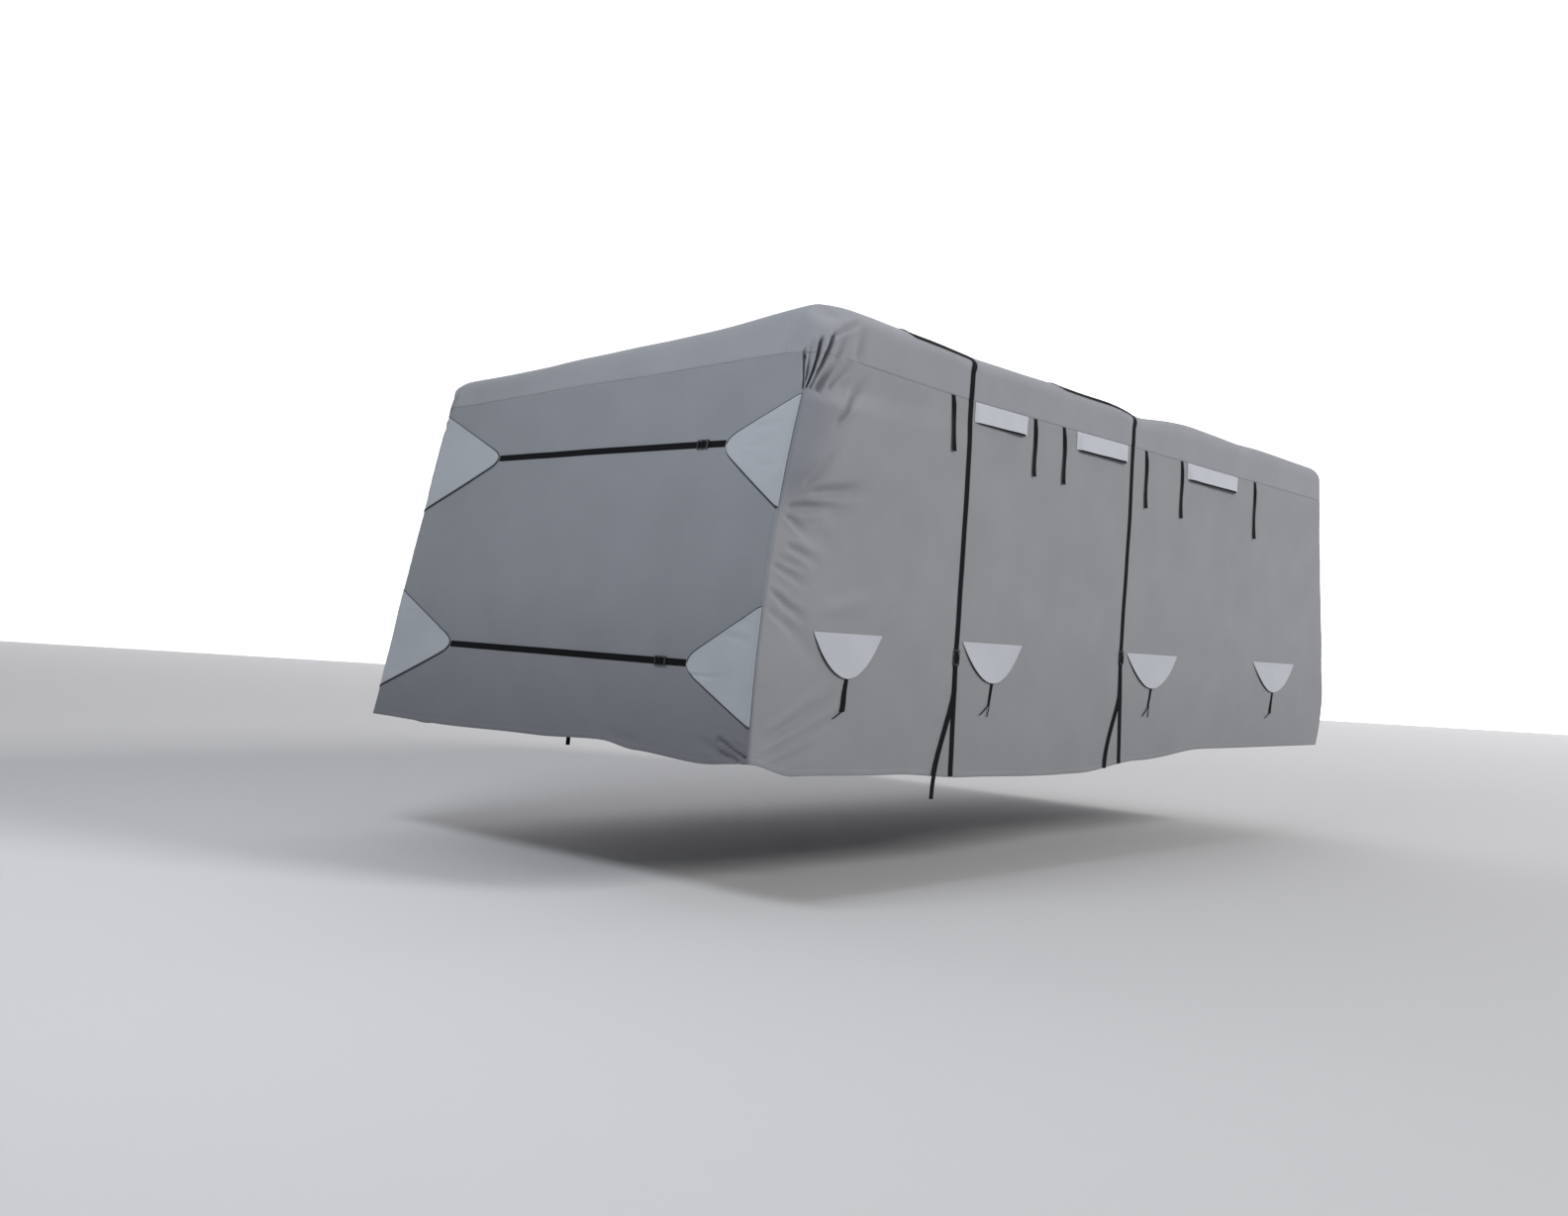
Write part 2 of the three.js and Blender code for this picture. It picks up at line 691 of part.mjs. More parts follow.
function noseBuckle(name, [x, z], slope) {
  const size = NOSE_BUCKLE;
  const piece = mesh(name, plate(size.long, size.wide, size.thick, size.corner), 'buckle');
  const rise = size.wide / 2;
  const lean = (noseY(x, z + rise) - noseY(x, z - rise)) / (2 * rise);
  piece.position.set(x, noseY(x, z), z);
  piece.rotation.x = Math.PI / 2 - Math.atan(lean);
  piece.rotateZ(Math.atan(slope));
  piece.translateZ(GAP + size.clear);
  return piece;
}

// Straps over the roof

// The path of a strap on the flat cloth, from the buckle of one side to that of the other. Below
// the eave a step down the wall is as long as one on the flat cloth, which sets the path's foot.
function strapPath(strap, skin) {
  const top = strap.buckle + SIDE_BUCKLE.long / 2 + SIDE_BUCKLE.clear;
  const guess = MIDDLE_HALF + EAVE_ARC + EAVE_HEIGHT - EAVE_RADIUS - top;
  const wing = (side) => {
    const foot = guess + vertexAt(skin, [side * guess, strap.foot]).point.z - top;
    const slipped = STRAP_SLIP.map(({ outwards, forward, share }) => {
      const y = strap.eave - forward - share * strap.drawn;
      return [side * (MIDDLE_HALF + outwards * EAVE_ARC), y];
    });
    return [[side * foot, strap.foot], ...slipped];
  };
  const middle = STRAP_BOW.map(({ x, share }) => [x, strap.eave - share * strap.drawn]);
  return [...wing(-1), ...middle, ...wing(1).reverse()];
}

// The roof cloth and the sides below it as one skin, for the straps that cross the seam
function wrapSkin() {
  const foot = (along) => (side) => [edgeHeight(side, along) - WRAP_FOOT];
  return addGrid(newSkin(), ALONG.map((along) => acrossRow(along, foot(along))));
}

function roofStraps() {
  const skin = wrapSkin();
  const pieces = [];
  for (const strap of ROOF_STRAPS) {
    const cells = ribbonCells(strapPath(strap, skin), ROOF_STRAP_WIDTH);
    const geometry = shell(cutSkin(skin, cells), GAP, GAP + WEBBING);
    pieces.push(mesh(strap.name, geometry, 'webbing'));
    for (const side of [1, -1]) pieces.push(...sideLegs(strap, side));
  }
  return pieces;
}

// Pieces flat against a side

const sideName = (side) => (side > 0 ? 'right' : 'left');

// A strip of webbing down a side. Each row has a height z, a place y and a distance off the wall.
function sideStrip(side, rows, width, thickness) {
  const grid = rows.map((row) => [-0.5, 0.5].map((edge) => {
    const wide = width * (row.taper ?? 1);
    return {
      point: new THREE.Vector3(side * (HALF + row.off), row.y + edge * wide, row.z),
      normal: new THREE.Vector3(side, 0, 0),
      flat: [row.y, row.z],
    };
  }));
  return shell(addGrid(newSkin(), grid), 0, thickness);
}

// Below the roof strap: its buckle, the leg that is sewn to the hem and the loose tail
function sideLegs(strap, side) {
  const end = `${strap.name.replace('roof_strap_', '')}_${sideName(side)}`;
  const size = SIDE_BUCKLE;
  const foot = strap.buckle - size.long / 2 - size.clear;
  const hem = -ease(SIDE_HEM, 'y', 'drop', strap.sewn) + HEM_CLEAR;
  const box = new THREE.BoxGeometry(size.thick, size.wide, size.long);
  const buckle = mesh(`buckle_${end}`, box, 'buckle');
  buckle.position.set(side * (HALF + GAP + size.thick / 2), strap.foot, strap.buckle);
  const leg = [{ y: strap.foot, z: foot, off: GAP }, { y: strap.sewn, z: hem, off: GAP }];
  const off = 2 * GAP + WEBBING;
  const swing = strap.free.y - strap.foot;
  const tail = [
    { y: strap.foot, z: foot, off },
    ...steps(0, 1, TAIL.rows).map((t) => ({
      y: strap.foot + swing * Math.sin((t * Math.PI) / 2) ** TAIL.swing,
      z: mix(TAIL.split, strap.free.z, t),
      off,
    })),
  ];
  return [
    buckle,
    mesh(`leg_${end}`, sideStrip(side, leg, ROOF_STRAP_WIDTH, WEBBING), 'webbing'),
    mesh(`tail_${end}`, sideStrip(side, tail, TAIL.width, WEBBING), 'webbing'),
  ];
}

// A hood over a vent: a wedge of cloth, sewn to the side at its top and ends, open below
function ventHood(name, side, vent) {
  const wedge = (long, tall, deep) => {
    const shape = new THREE.Shape();
    shape.moveTo(0, 0);
    shape.lineTo(0, -tall);
    shape.lineTo(side * deep, -tall);
    shape.lineTo(side * CLOTH, 0);
    shape.closePath();
    const geometry = new THREE.ExtrudeGeometry(shape, { depth: long, bevelEnabled: false });
    geometry.rotateX(Math.PI / 2);
    return geometry.translate(0, long / 2, 0);
  };
  const long = vent.to - vent.from;
  const inner = wedge(long - 2 * CLOTH, VENT.tall, VENT.deep);
  inner.translate(-side * CLOTH, 0, -CLOTH);
  const hood = difference(wedge(long, VENT.tall, VENT.deep), inner);
  const piece = mesh(name, hood, 'light');
  const seam = seamHeight(side * HALF, (vent.from + vent.to) / 2);
  piece.position.set(side * (HALF + GAP), (vent.from + vent.to) / 2, seam - GAP);
  return piece;
}

function toManifold(geometry) {
  const bare = geometry.clone();
  bare.deleteAttribute('normal');
  bare.deleteAttribute('uv');
  const merged = mergeVertices(bare, MERGE_DISTANCE);
  return new wasm.Manifold(new wasm.Mesh({
    numProp: 3,
    vertProperties: new Float32Array(merged.attributes.position.array),
    triVerts: new Uint32Array(merged.index.array),
  }));
}

function difference(geometry, cutter) {
  const result = toManifold(geometry).subtract(toManifold(cutter)).getMesh();
  return meshGeometry(Array.from(result.vertProperties), Array.from(result.triVerts));
}

// A tie hangs from the seam with a slight bow
function hangingTie(name, side, tie) {
  const top = seamHeight(side * HALF, tie.y) - GAP;
  const rows = steps(0, 1, TIE_HANG.rows).map((t) => (
    {
      y: tie.y + TIE_HANG.bow * Math.sin(t * Math.PI * TIE_HANG.part),
      z: top - tie.long * t,
      off: GAP + TIE_HANG.off * t,
    }
  ));
  return mesh(name, sideStrip(side, rows, TIE_WIDTH, WEBBING), 'webbing');
}

// A patch with a straight edge above and a parabola below
function pullPatch(name, side, pull, skin) {
  const middle = (pull.from + pull.to) / 2;
  const half = (pull.to - pull.from) / 2;
  const outline = steps(-1, 1, PULL.points).map((u) => (
    [middle + half * u, mix(PULL.foot, PULL.top, u * u)]
  ));
  return mesh(name, shell(cutSkin(skin, [outline]), GAP, GAP + CLOTH), 'light');
}

const tieTop = (pull) => ({ y: (pull.from + pull.to) / 2, z: PULL.foot - GAP });

function pullTie(name, side, pull) {
  const { y, z } = tieTop(pull);
  const rows = steps(0, 1, PULL_TIE.rows).map((t) => (
    {
      y: y + pull.tie.lean * t,
      z: z - pull.tie.long * t,
      off: GAP + PULL_TIE.off * t,
      taper: mix(1, pull.tie.end / pull.tie.wide, t),
    }
  ));
  return mesh(name, sideStrip(side, rows, pull.tie.wide, WEBBING), 'webbing');
}

// A free string below a pull tie: straight down at first, then out to its side
function pullString(name, side, pull, string) {
  const top = tieTop(pull);
  const radius = STRING.diameter / 2;
  const beside = (string.lean < pull.tie.lean ? -1 : 1) * (radius + GAP / 2);
  const start = { y: top.y + pull.tie.lean + beside, z: top.z - pull.tie.long - GAP };
  const x = side * (HALF + PULL_TIE.off + GAP + radius);
  const place = (t) => new THREE.Vector3(
    x,
    mix(start.y, top.y + pull.tie.lean + string.lean, t ** STRING.curl),
    start.z - mix(radius, string.drop, t),
  );
  const points = [
    new THREE.Vector3(x, start.y, start.z),
    ...steps(0, 1, STRING.points).map(place),
  ];
  const circle = new THREE.Shape();
  circle.absarc(0, 0, radius, 0, 2 * Math.PI, false);
  // A round outline gets two sides for each curve segment
  const geometry = new THREE.ExtrudeGeometry(circle, {
    extrudePath: new THREE.CatmullRomCurve3(points),
    steps: STRING.steps,
    curveSegments: STRING.sides / 2,
  });
  return mesh(name, geometry, 'webbing');
}

function mesh(name, geometry, finish) {
  const material = new THREE.MeshStandardMaterial({
    color: COLOURS[finish],
    roughness: ROUGHNESS[finish] ?? ROUGHNESS.cloth,
    metalness: 0,
  });
  const made = new THREE.Mesh(geometry, material);
  made.name = name;
  return made;
}

// The whole cover

function panels(sides, nose) {
  return [
    mesh('roof_panel', shell(roofSkin(), -CLOTH, 0), 'roof'),
    mesh('side_panel_right', shell(sides[1], -CLOTH, 0), 'side'),
    mesh('side_panel_left', shell(sides[-1], -CLOTH, 0), 'side'),
    mesh('nose_panel', shell(nose, -CLOTH, 0), 'nose'),
    mesh('tail_panel', shell(tailSkin(), -CLOTH, 0), 'side'),
  ];
}

function sideFittings(side, skin) {
  const end = sideName(side);
  const pieces = [];
  VENTS.forEach((vent, i) => pieces.push(ventHood(`vent_${i + 1}_${end}`, side, vent)));
  PULLS.forEach((pull, i) => pieces.push(pullPatch(`pull_${i + 1}_${end}`, side, pull, skin)));
  return pieces;
}

// The near side also has its ties and strings as solids
function nearTies() {
  const pieces = TIES.map((tie, i) => hangingTie(`tie_${i + 1}`, 1, tie));
  PULLS.forEach((pull, i) => {
    pieces.push(pullTie(`pull_tie_${i + 1}`, 1, pull));
    pull.strings.forEach((string, k) => {
      pieces.push(pullString(`pull_string_${i + 1}${'ab'[k]}`, 1, pull, string));
    });
  });
  return pieces;
}

const sides = { 1: sideSkin(1), [-1]: sideSkin(-1) };
const nose = noseSkin();
const cover = new THREE.Group();
cover.add(
  ...panels(sides, nose),
  ...noseFittings(nose),
  ...roofStraps(),
  ...sideFittings(1, sides[1]),
  ...sideFittings(-1, sides[-1]),
  ...nearTies(),
);
cover.position.z = -(EAVE_HEIGHT + swell(ROOF_SWELLS, 0, 0) + ROOF_CROWN - CLOTH);

export default cover;
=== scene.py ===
# A fitted caravan cover, in the shape that it has in use: fine cloth on the folds of the packed
# solids, with its patches, webbing, buckles, hoods, ties and strings.
# Metres, +Z up. Heights in this file count from the hem at the nose corners, and lowered() brings
# a point into the frame, whose origin is under the middle of the roof cloth.

import math
from functools import partial

import bmesh
import bpy
import numpy as np
from mathutils import Matrix, Vector
from mathutils.bvhtree import BVHTree


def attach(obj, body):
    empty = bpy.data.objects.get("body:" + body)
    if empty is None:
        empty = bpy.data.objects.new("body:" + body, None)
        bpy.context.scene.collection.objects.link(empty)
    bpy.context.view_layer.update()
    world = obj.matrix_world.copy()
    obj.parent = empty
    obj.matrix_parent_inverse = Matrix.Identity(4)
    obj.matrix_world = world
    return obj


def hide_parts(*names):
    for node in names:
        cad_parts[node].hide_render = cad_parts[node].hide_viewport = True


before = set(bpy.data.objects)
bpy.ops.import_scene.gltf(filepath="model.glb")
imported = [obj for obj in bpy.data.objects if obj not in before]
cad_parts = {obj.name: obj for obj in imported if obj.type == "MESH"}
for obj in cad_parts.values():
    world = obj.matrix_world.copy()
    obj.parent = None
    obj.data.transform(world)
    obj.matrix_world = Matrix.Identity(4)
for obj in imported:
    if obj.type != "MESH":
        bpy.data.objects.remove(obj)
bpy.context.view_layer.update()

# Overall size

WIDTH = 2.6
LENGTH = 6.3
HALF = WIDTH / 2
NOSE_FOOT = -LENGTH / 2
EAVE_HEIGHT = 1.983
SEAM_HEIGHT = 1.742
CLOTH = 0.002
GAP = 0.0003
EAVE_RADIUS = 0.095
CORNER_RADIUS = 0.025
ROOF_CROWN = 0.045
CROWN_START = 0.5
DOWN = math.pi / 2
EAVE_ARC = EAVE_RADIUS * DOWN
MIDDLE_HALF = HALF - EAVE_RADIUS

NOSE_LEAN = 0.346
NOSE_BOW_RIGHT = 0.347
NOSE_PULL = 0.11
TAIL_SLOPE = 0.163
TAIL_FOOT = 0.33
TAIL_TUCK = 0.085

# Rises of the eaves and of the roof's seam, and drops of the hems below the height 0 by their
# place along the side or across the end
ROOF_SWELLS = [
    dict(x=HALF, y=-2.75, reach=0.43, rise=0.04),
    dict(x=HALF, y=-2.15, reach=0.48, rise=0.022),
    dict(x=HALF, y=0.2, reach=0.3, rise=-0.036),
    dict(x=HALF, y=0.95, reach=0.42, rise=0.01),
    dict(x=-HALF, y=-2.8, reach=1.7, rise=-0.102),
]
SEAM_SWELLS = [
    dict(x=HALF, y=-2.85, reach=0.7, rise=0.026),
    dict(x=-HALF, y=-2.85, reach=0.9, rise=-0.032),
]
SIDE_HEM = [
    (-3.15, 0.0), (-2.85, 0.056), (-2.13, 0.068), (-1.5, 0.098), (-0.7, 0.11), (-0.37, 0.108),
    (0.32, 0.053), (1.15, 0.0), (3.15, 0.0),
]
NOSE_HEM = [
    (-1.3, 0.0), (-0.7, 0.008), (0.0, -0.004), (0.45, -0.023), (0.66, 0.002), (1.04, 0.021),
    (1.3, 0.0),
]
TAIL_HEM = [(-1.3, 0.0), (1.3, 0.0)]

# Broad folds of the sides, as in the solids: root (y, z), reach, width and depth

BROAD_LIMIT = 0.016
BROAD_ROOT_WIDTH = 0.45
BROAD_LEAD = 0.7
BROAD_FOLDS = [
    dict(root=(-2.87, 1.58), dy=0.04, dz=0.23, width=0.12, depth=0.014),
    dict(root=(-2.87, 1.58), dy=0.21, dz=0.28, width=0.13, depth=0.018),
    dict(root=(-2.87, 1.58), dy=0.36, dz=0.1, width=0.13, depth=0.011),
    dict(root=(-3.0, 1.076), dy=0.48, dz=0.15, width=0.13, depth=0.014),
    dict(root=(-3.0, 1.076), dy=0.4, dz=-0.17, width=0.13, depth=0.013),
    dict(root=(-3.01, 0.64), dy=0.35, dz=0.3, width=0.13, depth=0.012),
    dict(root=(-3.01, 0.64), dy=0.44, dz=-0.3, width=0.14, depth=0.01),
]

# Creases, given as lines on the cloth from a start to an end. Each is a trough of a width at its
# start and end, or a ridge where its depth is negative. It rises from its start and falls to its
# end over two shares of its length, and low ridges lie beside it.

CREASE_RIDGE = dict(share=0.3, away=1.9)
TIGHT = (0.16, 0.1)


def crease(start, end, width, depth, bow=0.0, ends=(0.22, 0.6)):
    return dict(start=start, end=end, width=width, depth=depth, bow=bow, ends=ends)


# Round the nose corners, as (way from the corner, z), the way counting from the nose to the side:
# pleats that run together above the upper nose patch, then the folds behind them
CORNER_CREASES = [
    crease((-0.003, 1.583), (-0.054, 1.79), (0.004, 0.009), 0.028, ends=TIGHT),
    crease((0.0, 1.6), (-0.012, 1.82), (0.008, 0.018), 0.016, bow=0.004),
    crease((0.008, 1.585), (0.034, 1.845), (0.004, 0.015), 0.04, bow=0.016, ends=TIGHT),
    crease((0.016, 1.6), (0.066, 1.84), (0.005, 0.009), -0.006, bow=0.016),
    crease((0.022, 1.585), (0.106, 1.87), (0.005, 0.011), 0.037, bow=0.018, ends=TIGHT),
    crease((0.07, 1.575), (0.2, 1.765), (0.01, 0.026), 0.028),
    crease((0.16, 1.74), (0.19, 1.88), (0.016, 0.022), 0.009),
    crease((0.14, 1.6), (0.3, 1.8), (0.012, 0.034), 0.018),
    crease((0.19, 1.45), (0.43, 1.74), (0.011, 0.032), 0.026, bow=0.012),
    crease((0.3, 1.76), (0.295, 1.95), (0.03, 0.03), 0.012),
    crease((0.09, 1.842), (0.28, 1.955), (0.01, 0.02), 0.011, ends=(0.15, 0.3)),
]

# Behind the nose corners the sides roll outwards, between two heights
CORNER_ROLL = dict(high=0.09, reach=0.11, fade=0.4, low_edge=(1.0, 1.32), top_edge=(1.53, 1.66))

# On the sides, as (y, z): the puckers down the corner seam and the soft pulls near the hem
SIDE_CREASES = [
    crease((-2.95, 1.165), (-2.68, 1.39), (0.016, 0.04), 0.016),
    crease((-2.9, 1.148), (-2.4, 1.215), (0.014, 0.034), 0.019),
    crease((-2.96, 1.112), (-2.45, 1.165), (0.01, 0.03), -0.008),
    crease((-3.04, 1.075), (-2.6, 1.11), (0.01, 0.034), 0.02),
    crease((-3.04, 1.062), (-2.78, 0.945), (0.008, 0.028), 0.016),
    crease((-2.83, 1.02), (-2.55, 1.105), (0.014, 0.03), 0.008),
    crease((-3.01, 0.925), (-2.7, 0.85), (0.01, 0.026), 0.015),
    crease((-3.06, 0.868), (-2.8, 0.812), (0.01, 0.022), 0.007),
    crease((-3.09, 0.838), (-2.77, 0.745), (0.009, 0.024), 0.014),
    crease((-3.1, 0.735), (-2.78, 0.585), (0.009, 0.026), 0.016),
    crease((-3.12, 0.66), (-2.84, 0.53), (0.01, 0.024), 0.007),
    crease((-2.75, 0.645), (-2.23, 0.757), (0.03, 0.04), -0.008),
    crease((-2.3, 0.582), (-2.08, 0.726), (0.02, 0.03), -0.007),
    crease((-3.12, 0.07), (-2.4, 0.36), (0.014, 0.04), 0.012),
    crease((-3.1, 0.12), (-2.55, 0.39), (0.014, 0.034), -0.006),
    crease((-3.1, 0.01), (-2.4, 0.26), (0.014, 0.038), 0.01),
    crease((-3.04, -0.02), (-2.6, 0.11), (0.014, 0.03), 0.008),
]

# On the nose, as (x, z): the drawn corner of the hem, then shallow creases across the patches
NOSE_CREASES = [
    crease((1.297, 0.02), (1.12, 0.095), (0.006, 0.014), 0.022, ends=TIGHT),
    crease((1.27, 0.0), (1.1, 0.05), (0.014, 0.03), 0.016),
    crease((1.2, 0.012), (0.98, 0.1), (0.014, 0.03), 0.012),
    crease((1.29, 0.08), (1.19, 0.12), (0.01, 0.016), -0.007),
    crease((0.7, 0.03), (0.42, 0.07), (0.02, 0.03), 0.006),
    crease((0.9, 0.352), (1.297, 0.364), (0.006, 0.008), 0.006, bow=0.008),
    crease((1.1, 0.53), (1.293, 0.5), (0.01, 0.014), 0.008),
    crease((1.17, 0.6), (1.293, 0.56), (0.008, 0.01), 0.006),
    crease((1.1, 0.28), (1.295, 0.27), (0.008, 0.01), 0.003),
    crease((1.06, 1.43), (1.285, 1.45), (0.012, 0.016), 0.005),
    crease((1.12, 1.27), (1.285, 1.235), (0.012, 0.014), 0.005),
    crease((1.02, 1.35), (1.28, 1.355), (0.008, 0.012), 0.003),
    crease((-1.27, 0.56), (-1.02, 0.53), (0.012, 0.01), 0.005),
    crease((-1.28, 0.23), (-1.1, 0.26), (0.01, 0.01), 0.005),
    crease((-1.26, 1.47), (-1.0, 1.44), (0.014, 0.012), 0.004),
]

# On the tail, as (x, z), plain: soft pulls from the corners
TAIL_CREASES = [
    crease((1.28, 1.66), (0.75, 1.28), (0.02, 0.05), 0.007),
    crease((1.28, 1.7), (0.9, 1.55), (0.016, 0.04), 0.005),
    crease((-1.28, 1.66), (-0.8, 1.33), (0.02, 0.05), 0.007),
    crease((-1.28, 0.35), (-0.8, 0.6), (0.02, 0.05), 0.006),
    crease((1.28, 0.33), (0.7, 0.52), (0.02, 0.05), 0.006),
]

# The creases' depth on the hidden left side
LEFT_SHARE = 0.8

# The slow unevenness of hung cloth: wavelength and height of each set of waves
RIPPLES = [
    dict(wave=1.3, height=0.0028, seed=3),
    dict(wave=0.42, height=0.0009, seed=5),
]
RIPPLE_SPREAD = (0.7, 1.5)
WAVES = 14

# Seams are shallow valleys with gathers beside them, and hems are doubled cloth
SHEET = 0.0012
SEAM_VALLEY = dict(depth=0.0022, width=0.004)
SEAM_SHOWN = -2.66
SEAM_SHOWN_OVER = 0.16
FACING_RIGHT = 0.2
SEAM_PUCKERS = [
    dict(reach=0.035, wave=0.07, height=0.0006, seed=11),
    dict(reach=0.07, wave=0.19, height=0.0009, seed=12),
]
PUCKER_GROUP = 5.3
PUCKER_STRENGTH = (0.6, 0.4)

# The hem's rows: height over the hem's foot, and way off the cloth. From its stitches the doubled
# cloth stands a little out, and at the foot it turns under and runs up again inside.
HEM_ROWS = np.array([
    (0.034, 0), (0.0305, -0.0001), (0.029, -0.0006),
    (0.0275, 0.0004), (0.02, 0.0009), (0.01, 0.0009), (0.002, 0.0005),
    (0, -0.0012), (0.002, -0.0028), (0.014, -0.003), (0.026, -0.0028),
])

# Under the roof the nose's right corner is rounder, and its seam runs round it onto the nose. That
# corner of the roof is cut by a plane, with a soft edge.
CORNER_TOP = dict(low=1.57, high=1.82, radius=0.17)
SEAM_TURNS = dict(low=math.radians(45), high=math.radians(59))
CORNER_CUT = dict(place=(1.3, -2.67, 1.901), way=(0.72, -0.31, 0.62), soft=0.006)

# The spacing of the meshes: columns as reaches from a corner with the step used up to them, rows,
# and the points round a roof corner at the nose and the tail
SLOPE_STEP = 0.001
MERGE = 1e-5
FLAT_END = HALF - CORNER_RADIUS
SIDE_LONG = LENGTH - 2 * CORNER_RADIUS
SIDE_STEPS = [(0.36, 0.004), (0.95, 0.0125), (9, 0.05)]
ROOF_STEPS = [(0.2, 0.006), (9, 0.04)]
NOSE_STEPS = [(0.4, 0.008), (9, 0.02)]
TAIL_STEPS = [(9, 0.03)]
CORNER_STEPS = np.linspace(1, 0, 19)[:-1]
ROW_STEP = 0.0125
LEFT_STEP = 0.016
TAIL_ROW_STEP = 0.025
BAND_STEP = 0.0125
ROWS_BELOW_SEAM = np.array([0, 0.003, 0.006, 0.009, 0.014, 0.021, 0.03])
EAVE_ANGLES = np.linspace(0, DOWN, 11)
CORNER_FAN = {-1: 41, 1: 9}
RIBBON_COLUMNS = 5
RIBBON_STEP = 0.006
ROOF_STRAP_PATH = dict(step=0.008, soften=3)

# How a piece finds the cloth: where its rays start and how long they are
CAST_FROM = 0.15
CAST_LONG = 0.35

# Webbing and buckles. A strap lies on the cloth, and over a buckle's bar in its middle, with a bump
# that fades out over a reach. It runs into the buckle by a share of the buckle's length.

WEBBING = 0.0018
LAID = GAP + WEBBING
STRAP_OFF = LAID + 0.0004
BUCKLE = dict(low=0.0046, high=0.0088, bar=0.008, round=0.0014)
OVER_BAR = BUCKLE["high"] + WEBBING + 0.0006
NOSE_BUCKLE = dict(long=0.07, wide=0.042, rail=0.0045, bump=0.009, into=(0.25, 0.3))
SIDE_BUCKLE = dict(
    long=0.078, wide=0.046, rail=0.0038, bump=0.01, into=0.3, clear=0.001, under=0.02,
)

# The nose's patches and their straps, which end just short of the patches' tips

PATCHES = [
    dict(name="patch_upper_right", side=1, top=1.568, tip=(0.922, 1.369), foot=1.073),
    dict(name="patch_lower_right", side=1, top=0.653, tip=(0.912, 0.398), foot=0.152),
    dict(name="patch_upper_left", side=-1, top=1.664, tip=(-0.706, 1.387), foot=1.12),
    dict(name="patch_lower_left", side=-1, top=0.677, tip=(-0.752, 0.404), foot=0.15),
]
PATCH = dict(
    inset=0.008, beyond=0.045, round=0.125, off=0.0022, lower=0.0045, reach=0.06,
    straight_rows=44, tip_rows=15, columns=26,
)
# Painted shadow along the free edges of the nose patches: a dark band, narrow above and wide below
EDGE_SHADOW = dict(upper=0.0035, lower=0.0095, high=0.0024, off=0.0012, under=0.25, thick=0.001)
NOSE_STRAPS = [
    dict(name="upper", near=0, far=2, buckle=0.787),
    dict(name="lower", near=1, far=3, buckle=0.764),
]
NOSE_STRAP_WIDTH = 0.03
STRAP_SHORT = 0.001

# The straps over the top. Each has slipped forward along its eaves: rows of its place round the
# eave, its way forward and its share of what is drawn. On the roof it bows: rows of x and share.

ROOF_STRAP_WIDTH = 0.038
ROOF_STRAPS = [
    dict(
        name="front", buckle=0.487, eave=-1.64, drawn=0.54, foot=-1.664, sewn=-1.654,
        free=(-1.816, -0.193),
    ),
    dict(
        name="rear", buckle=0.536, eave=0.038, drawn=0.85, foot=0.026, sewn=0.064,
        free=(-0.111, -0.088),
    ),
]
STRAP_SLIP = [
    (1.0, 0.0, 0.0),
    (0.85, -0.014, 0.0),
    (0.69, -0.028, 0.0),
    (0.57, -0.023, 0.0),
    (0.48, -0.01, 0.0),
    (0.45, 0.008, 0.0),
    (0.45, 0.0, 0.86),
    (0.36, 0.0, 0.9),
    (0.2, 0.0, 0.945),
    (-0.5, 0.0, 0.985),
]
STRAP_BOW = [(-1.01, 1.0), (-0.72, 1.03), (0.0, 1.06), (0.72, 1.03), (1.01, 1.0)]
# On the eaves the strap is pulled along its length, and its upper edge stands off, most at a share
# of the way round the eave
STRAP_EDGE = dict(high=0.003, share=0.4, reach=0.3)
HEM_CLEAR = 0.004
LEG_ROWS = 60
TAIL = dict(
    split=0.33, wide=0.85 * ROOF_STRAP_WIDTH, swing=1.4, curl=0.0012, waves=5, off=0.002,
    rows=(14, 40),
)

# The sides' hoods, ties, pull patches and strings

BAND_THICK = 0.0008
VENTS = [
    dict(start=-1.604, end=-1.112, mouth=(0.35, 1.0)),
    dict(start=-0.598, end=-0.024, mouth=(0.8, 1.0)),
    dict(start=0.752, end=1.49, mouth=(0.9, 1.0)),
]
VENT = dict(
    tall=0.1, deep=0.015, ends=0.05, off=0.0015 + 0.6 * SHEET, band=0.011, shut=0.12, belly=0.85,
    drawn_up=0.03, uneven=[(0.12, 7, 1), (0.08, 17, 2)], columns=90,
)
VENT_ROWS = np.array([0, 0.02, 0.05, 0.1, 0.18, 0.28, 0.4, 0.52, 0.64, 0.76, 0.86, 0.93, 1])
TIES = [
    dict(y=-1.8, long=0.27),
    dict(y=-1.037, long=0.298),
    dict(y=-0.736, long=0.304),
    dict(y=0.21, long=0.332),
    dict(y=0.676, long=0.344),
    dict(y=1.752, long=0.372),
]
TIE = dict(
    wide=0.027, off=LAID + 0.0012, hang=0.005, bow=0.009, part=0.7, sway=0.004, turn=0.0022,
    twist=2.2, flares=[(0.12, 0.05), (0.08, 0.04)], phase=0.4, seed=100, rows=44,
)
PULLS = [
    dict(
        start=-2.769, end=-2.271, lean=-0.022, long=0.146, wide=(0.024, 0.034),
        strings=[(-0.062, 0.03)],
    ),
    dict(
        start=-1.612, end=-1.042, lean=-0.024, long=0.108, wide=(0.024, 0.013),
        strings=[(-0.08, 0.05), (-0.014, 0.058)],
    ),
    dict(
        start=0.096, end=0.739, lean=-0.031, long=0.106, wide=(0.024, 0.013),
        strings=[(-0.072, 0.056), (-0.004, 0.062)],
    ),
    dict(
        start=1.854, end=2.569, lean=-0.04, long=0.142, wide=(0.024, 0.034),
        strings=[(-0.084, 0.03)],
    ),
]
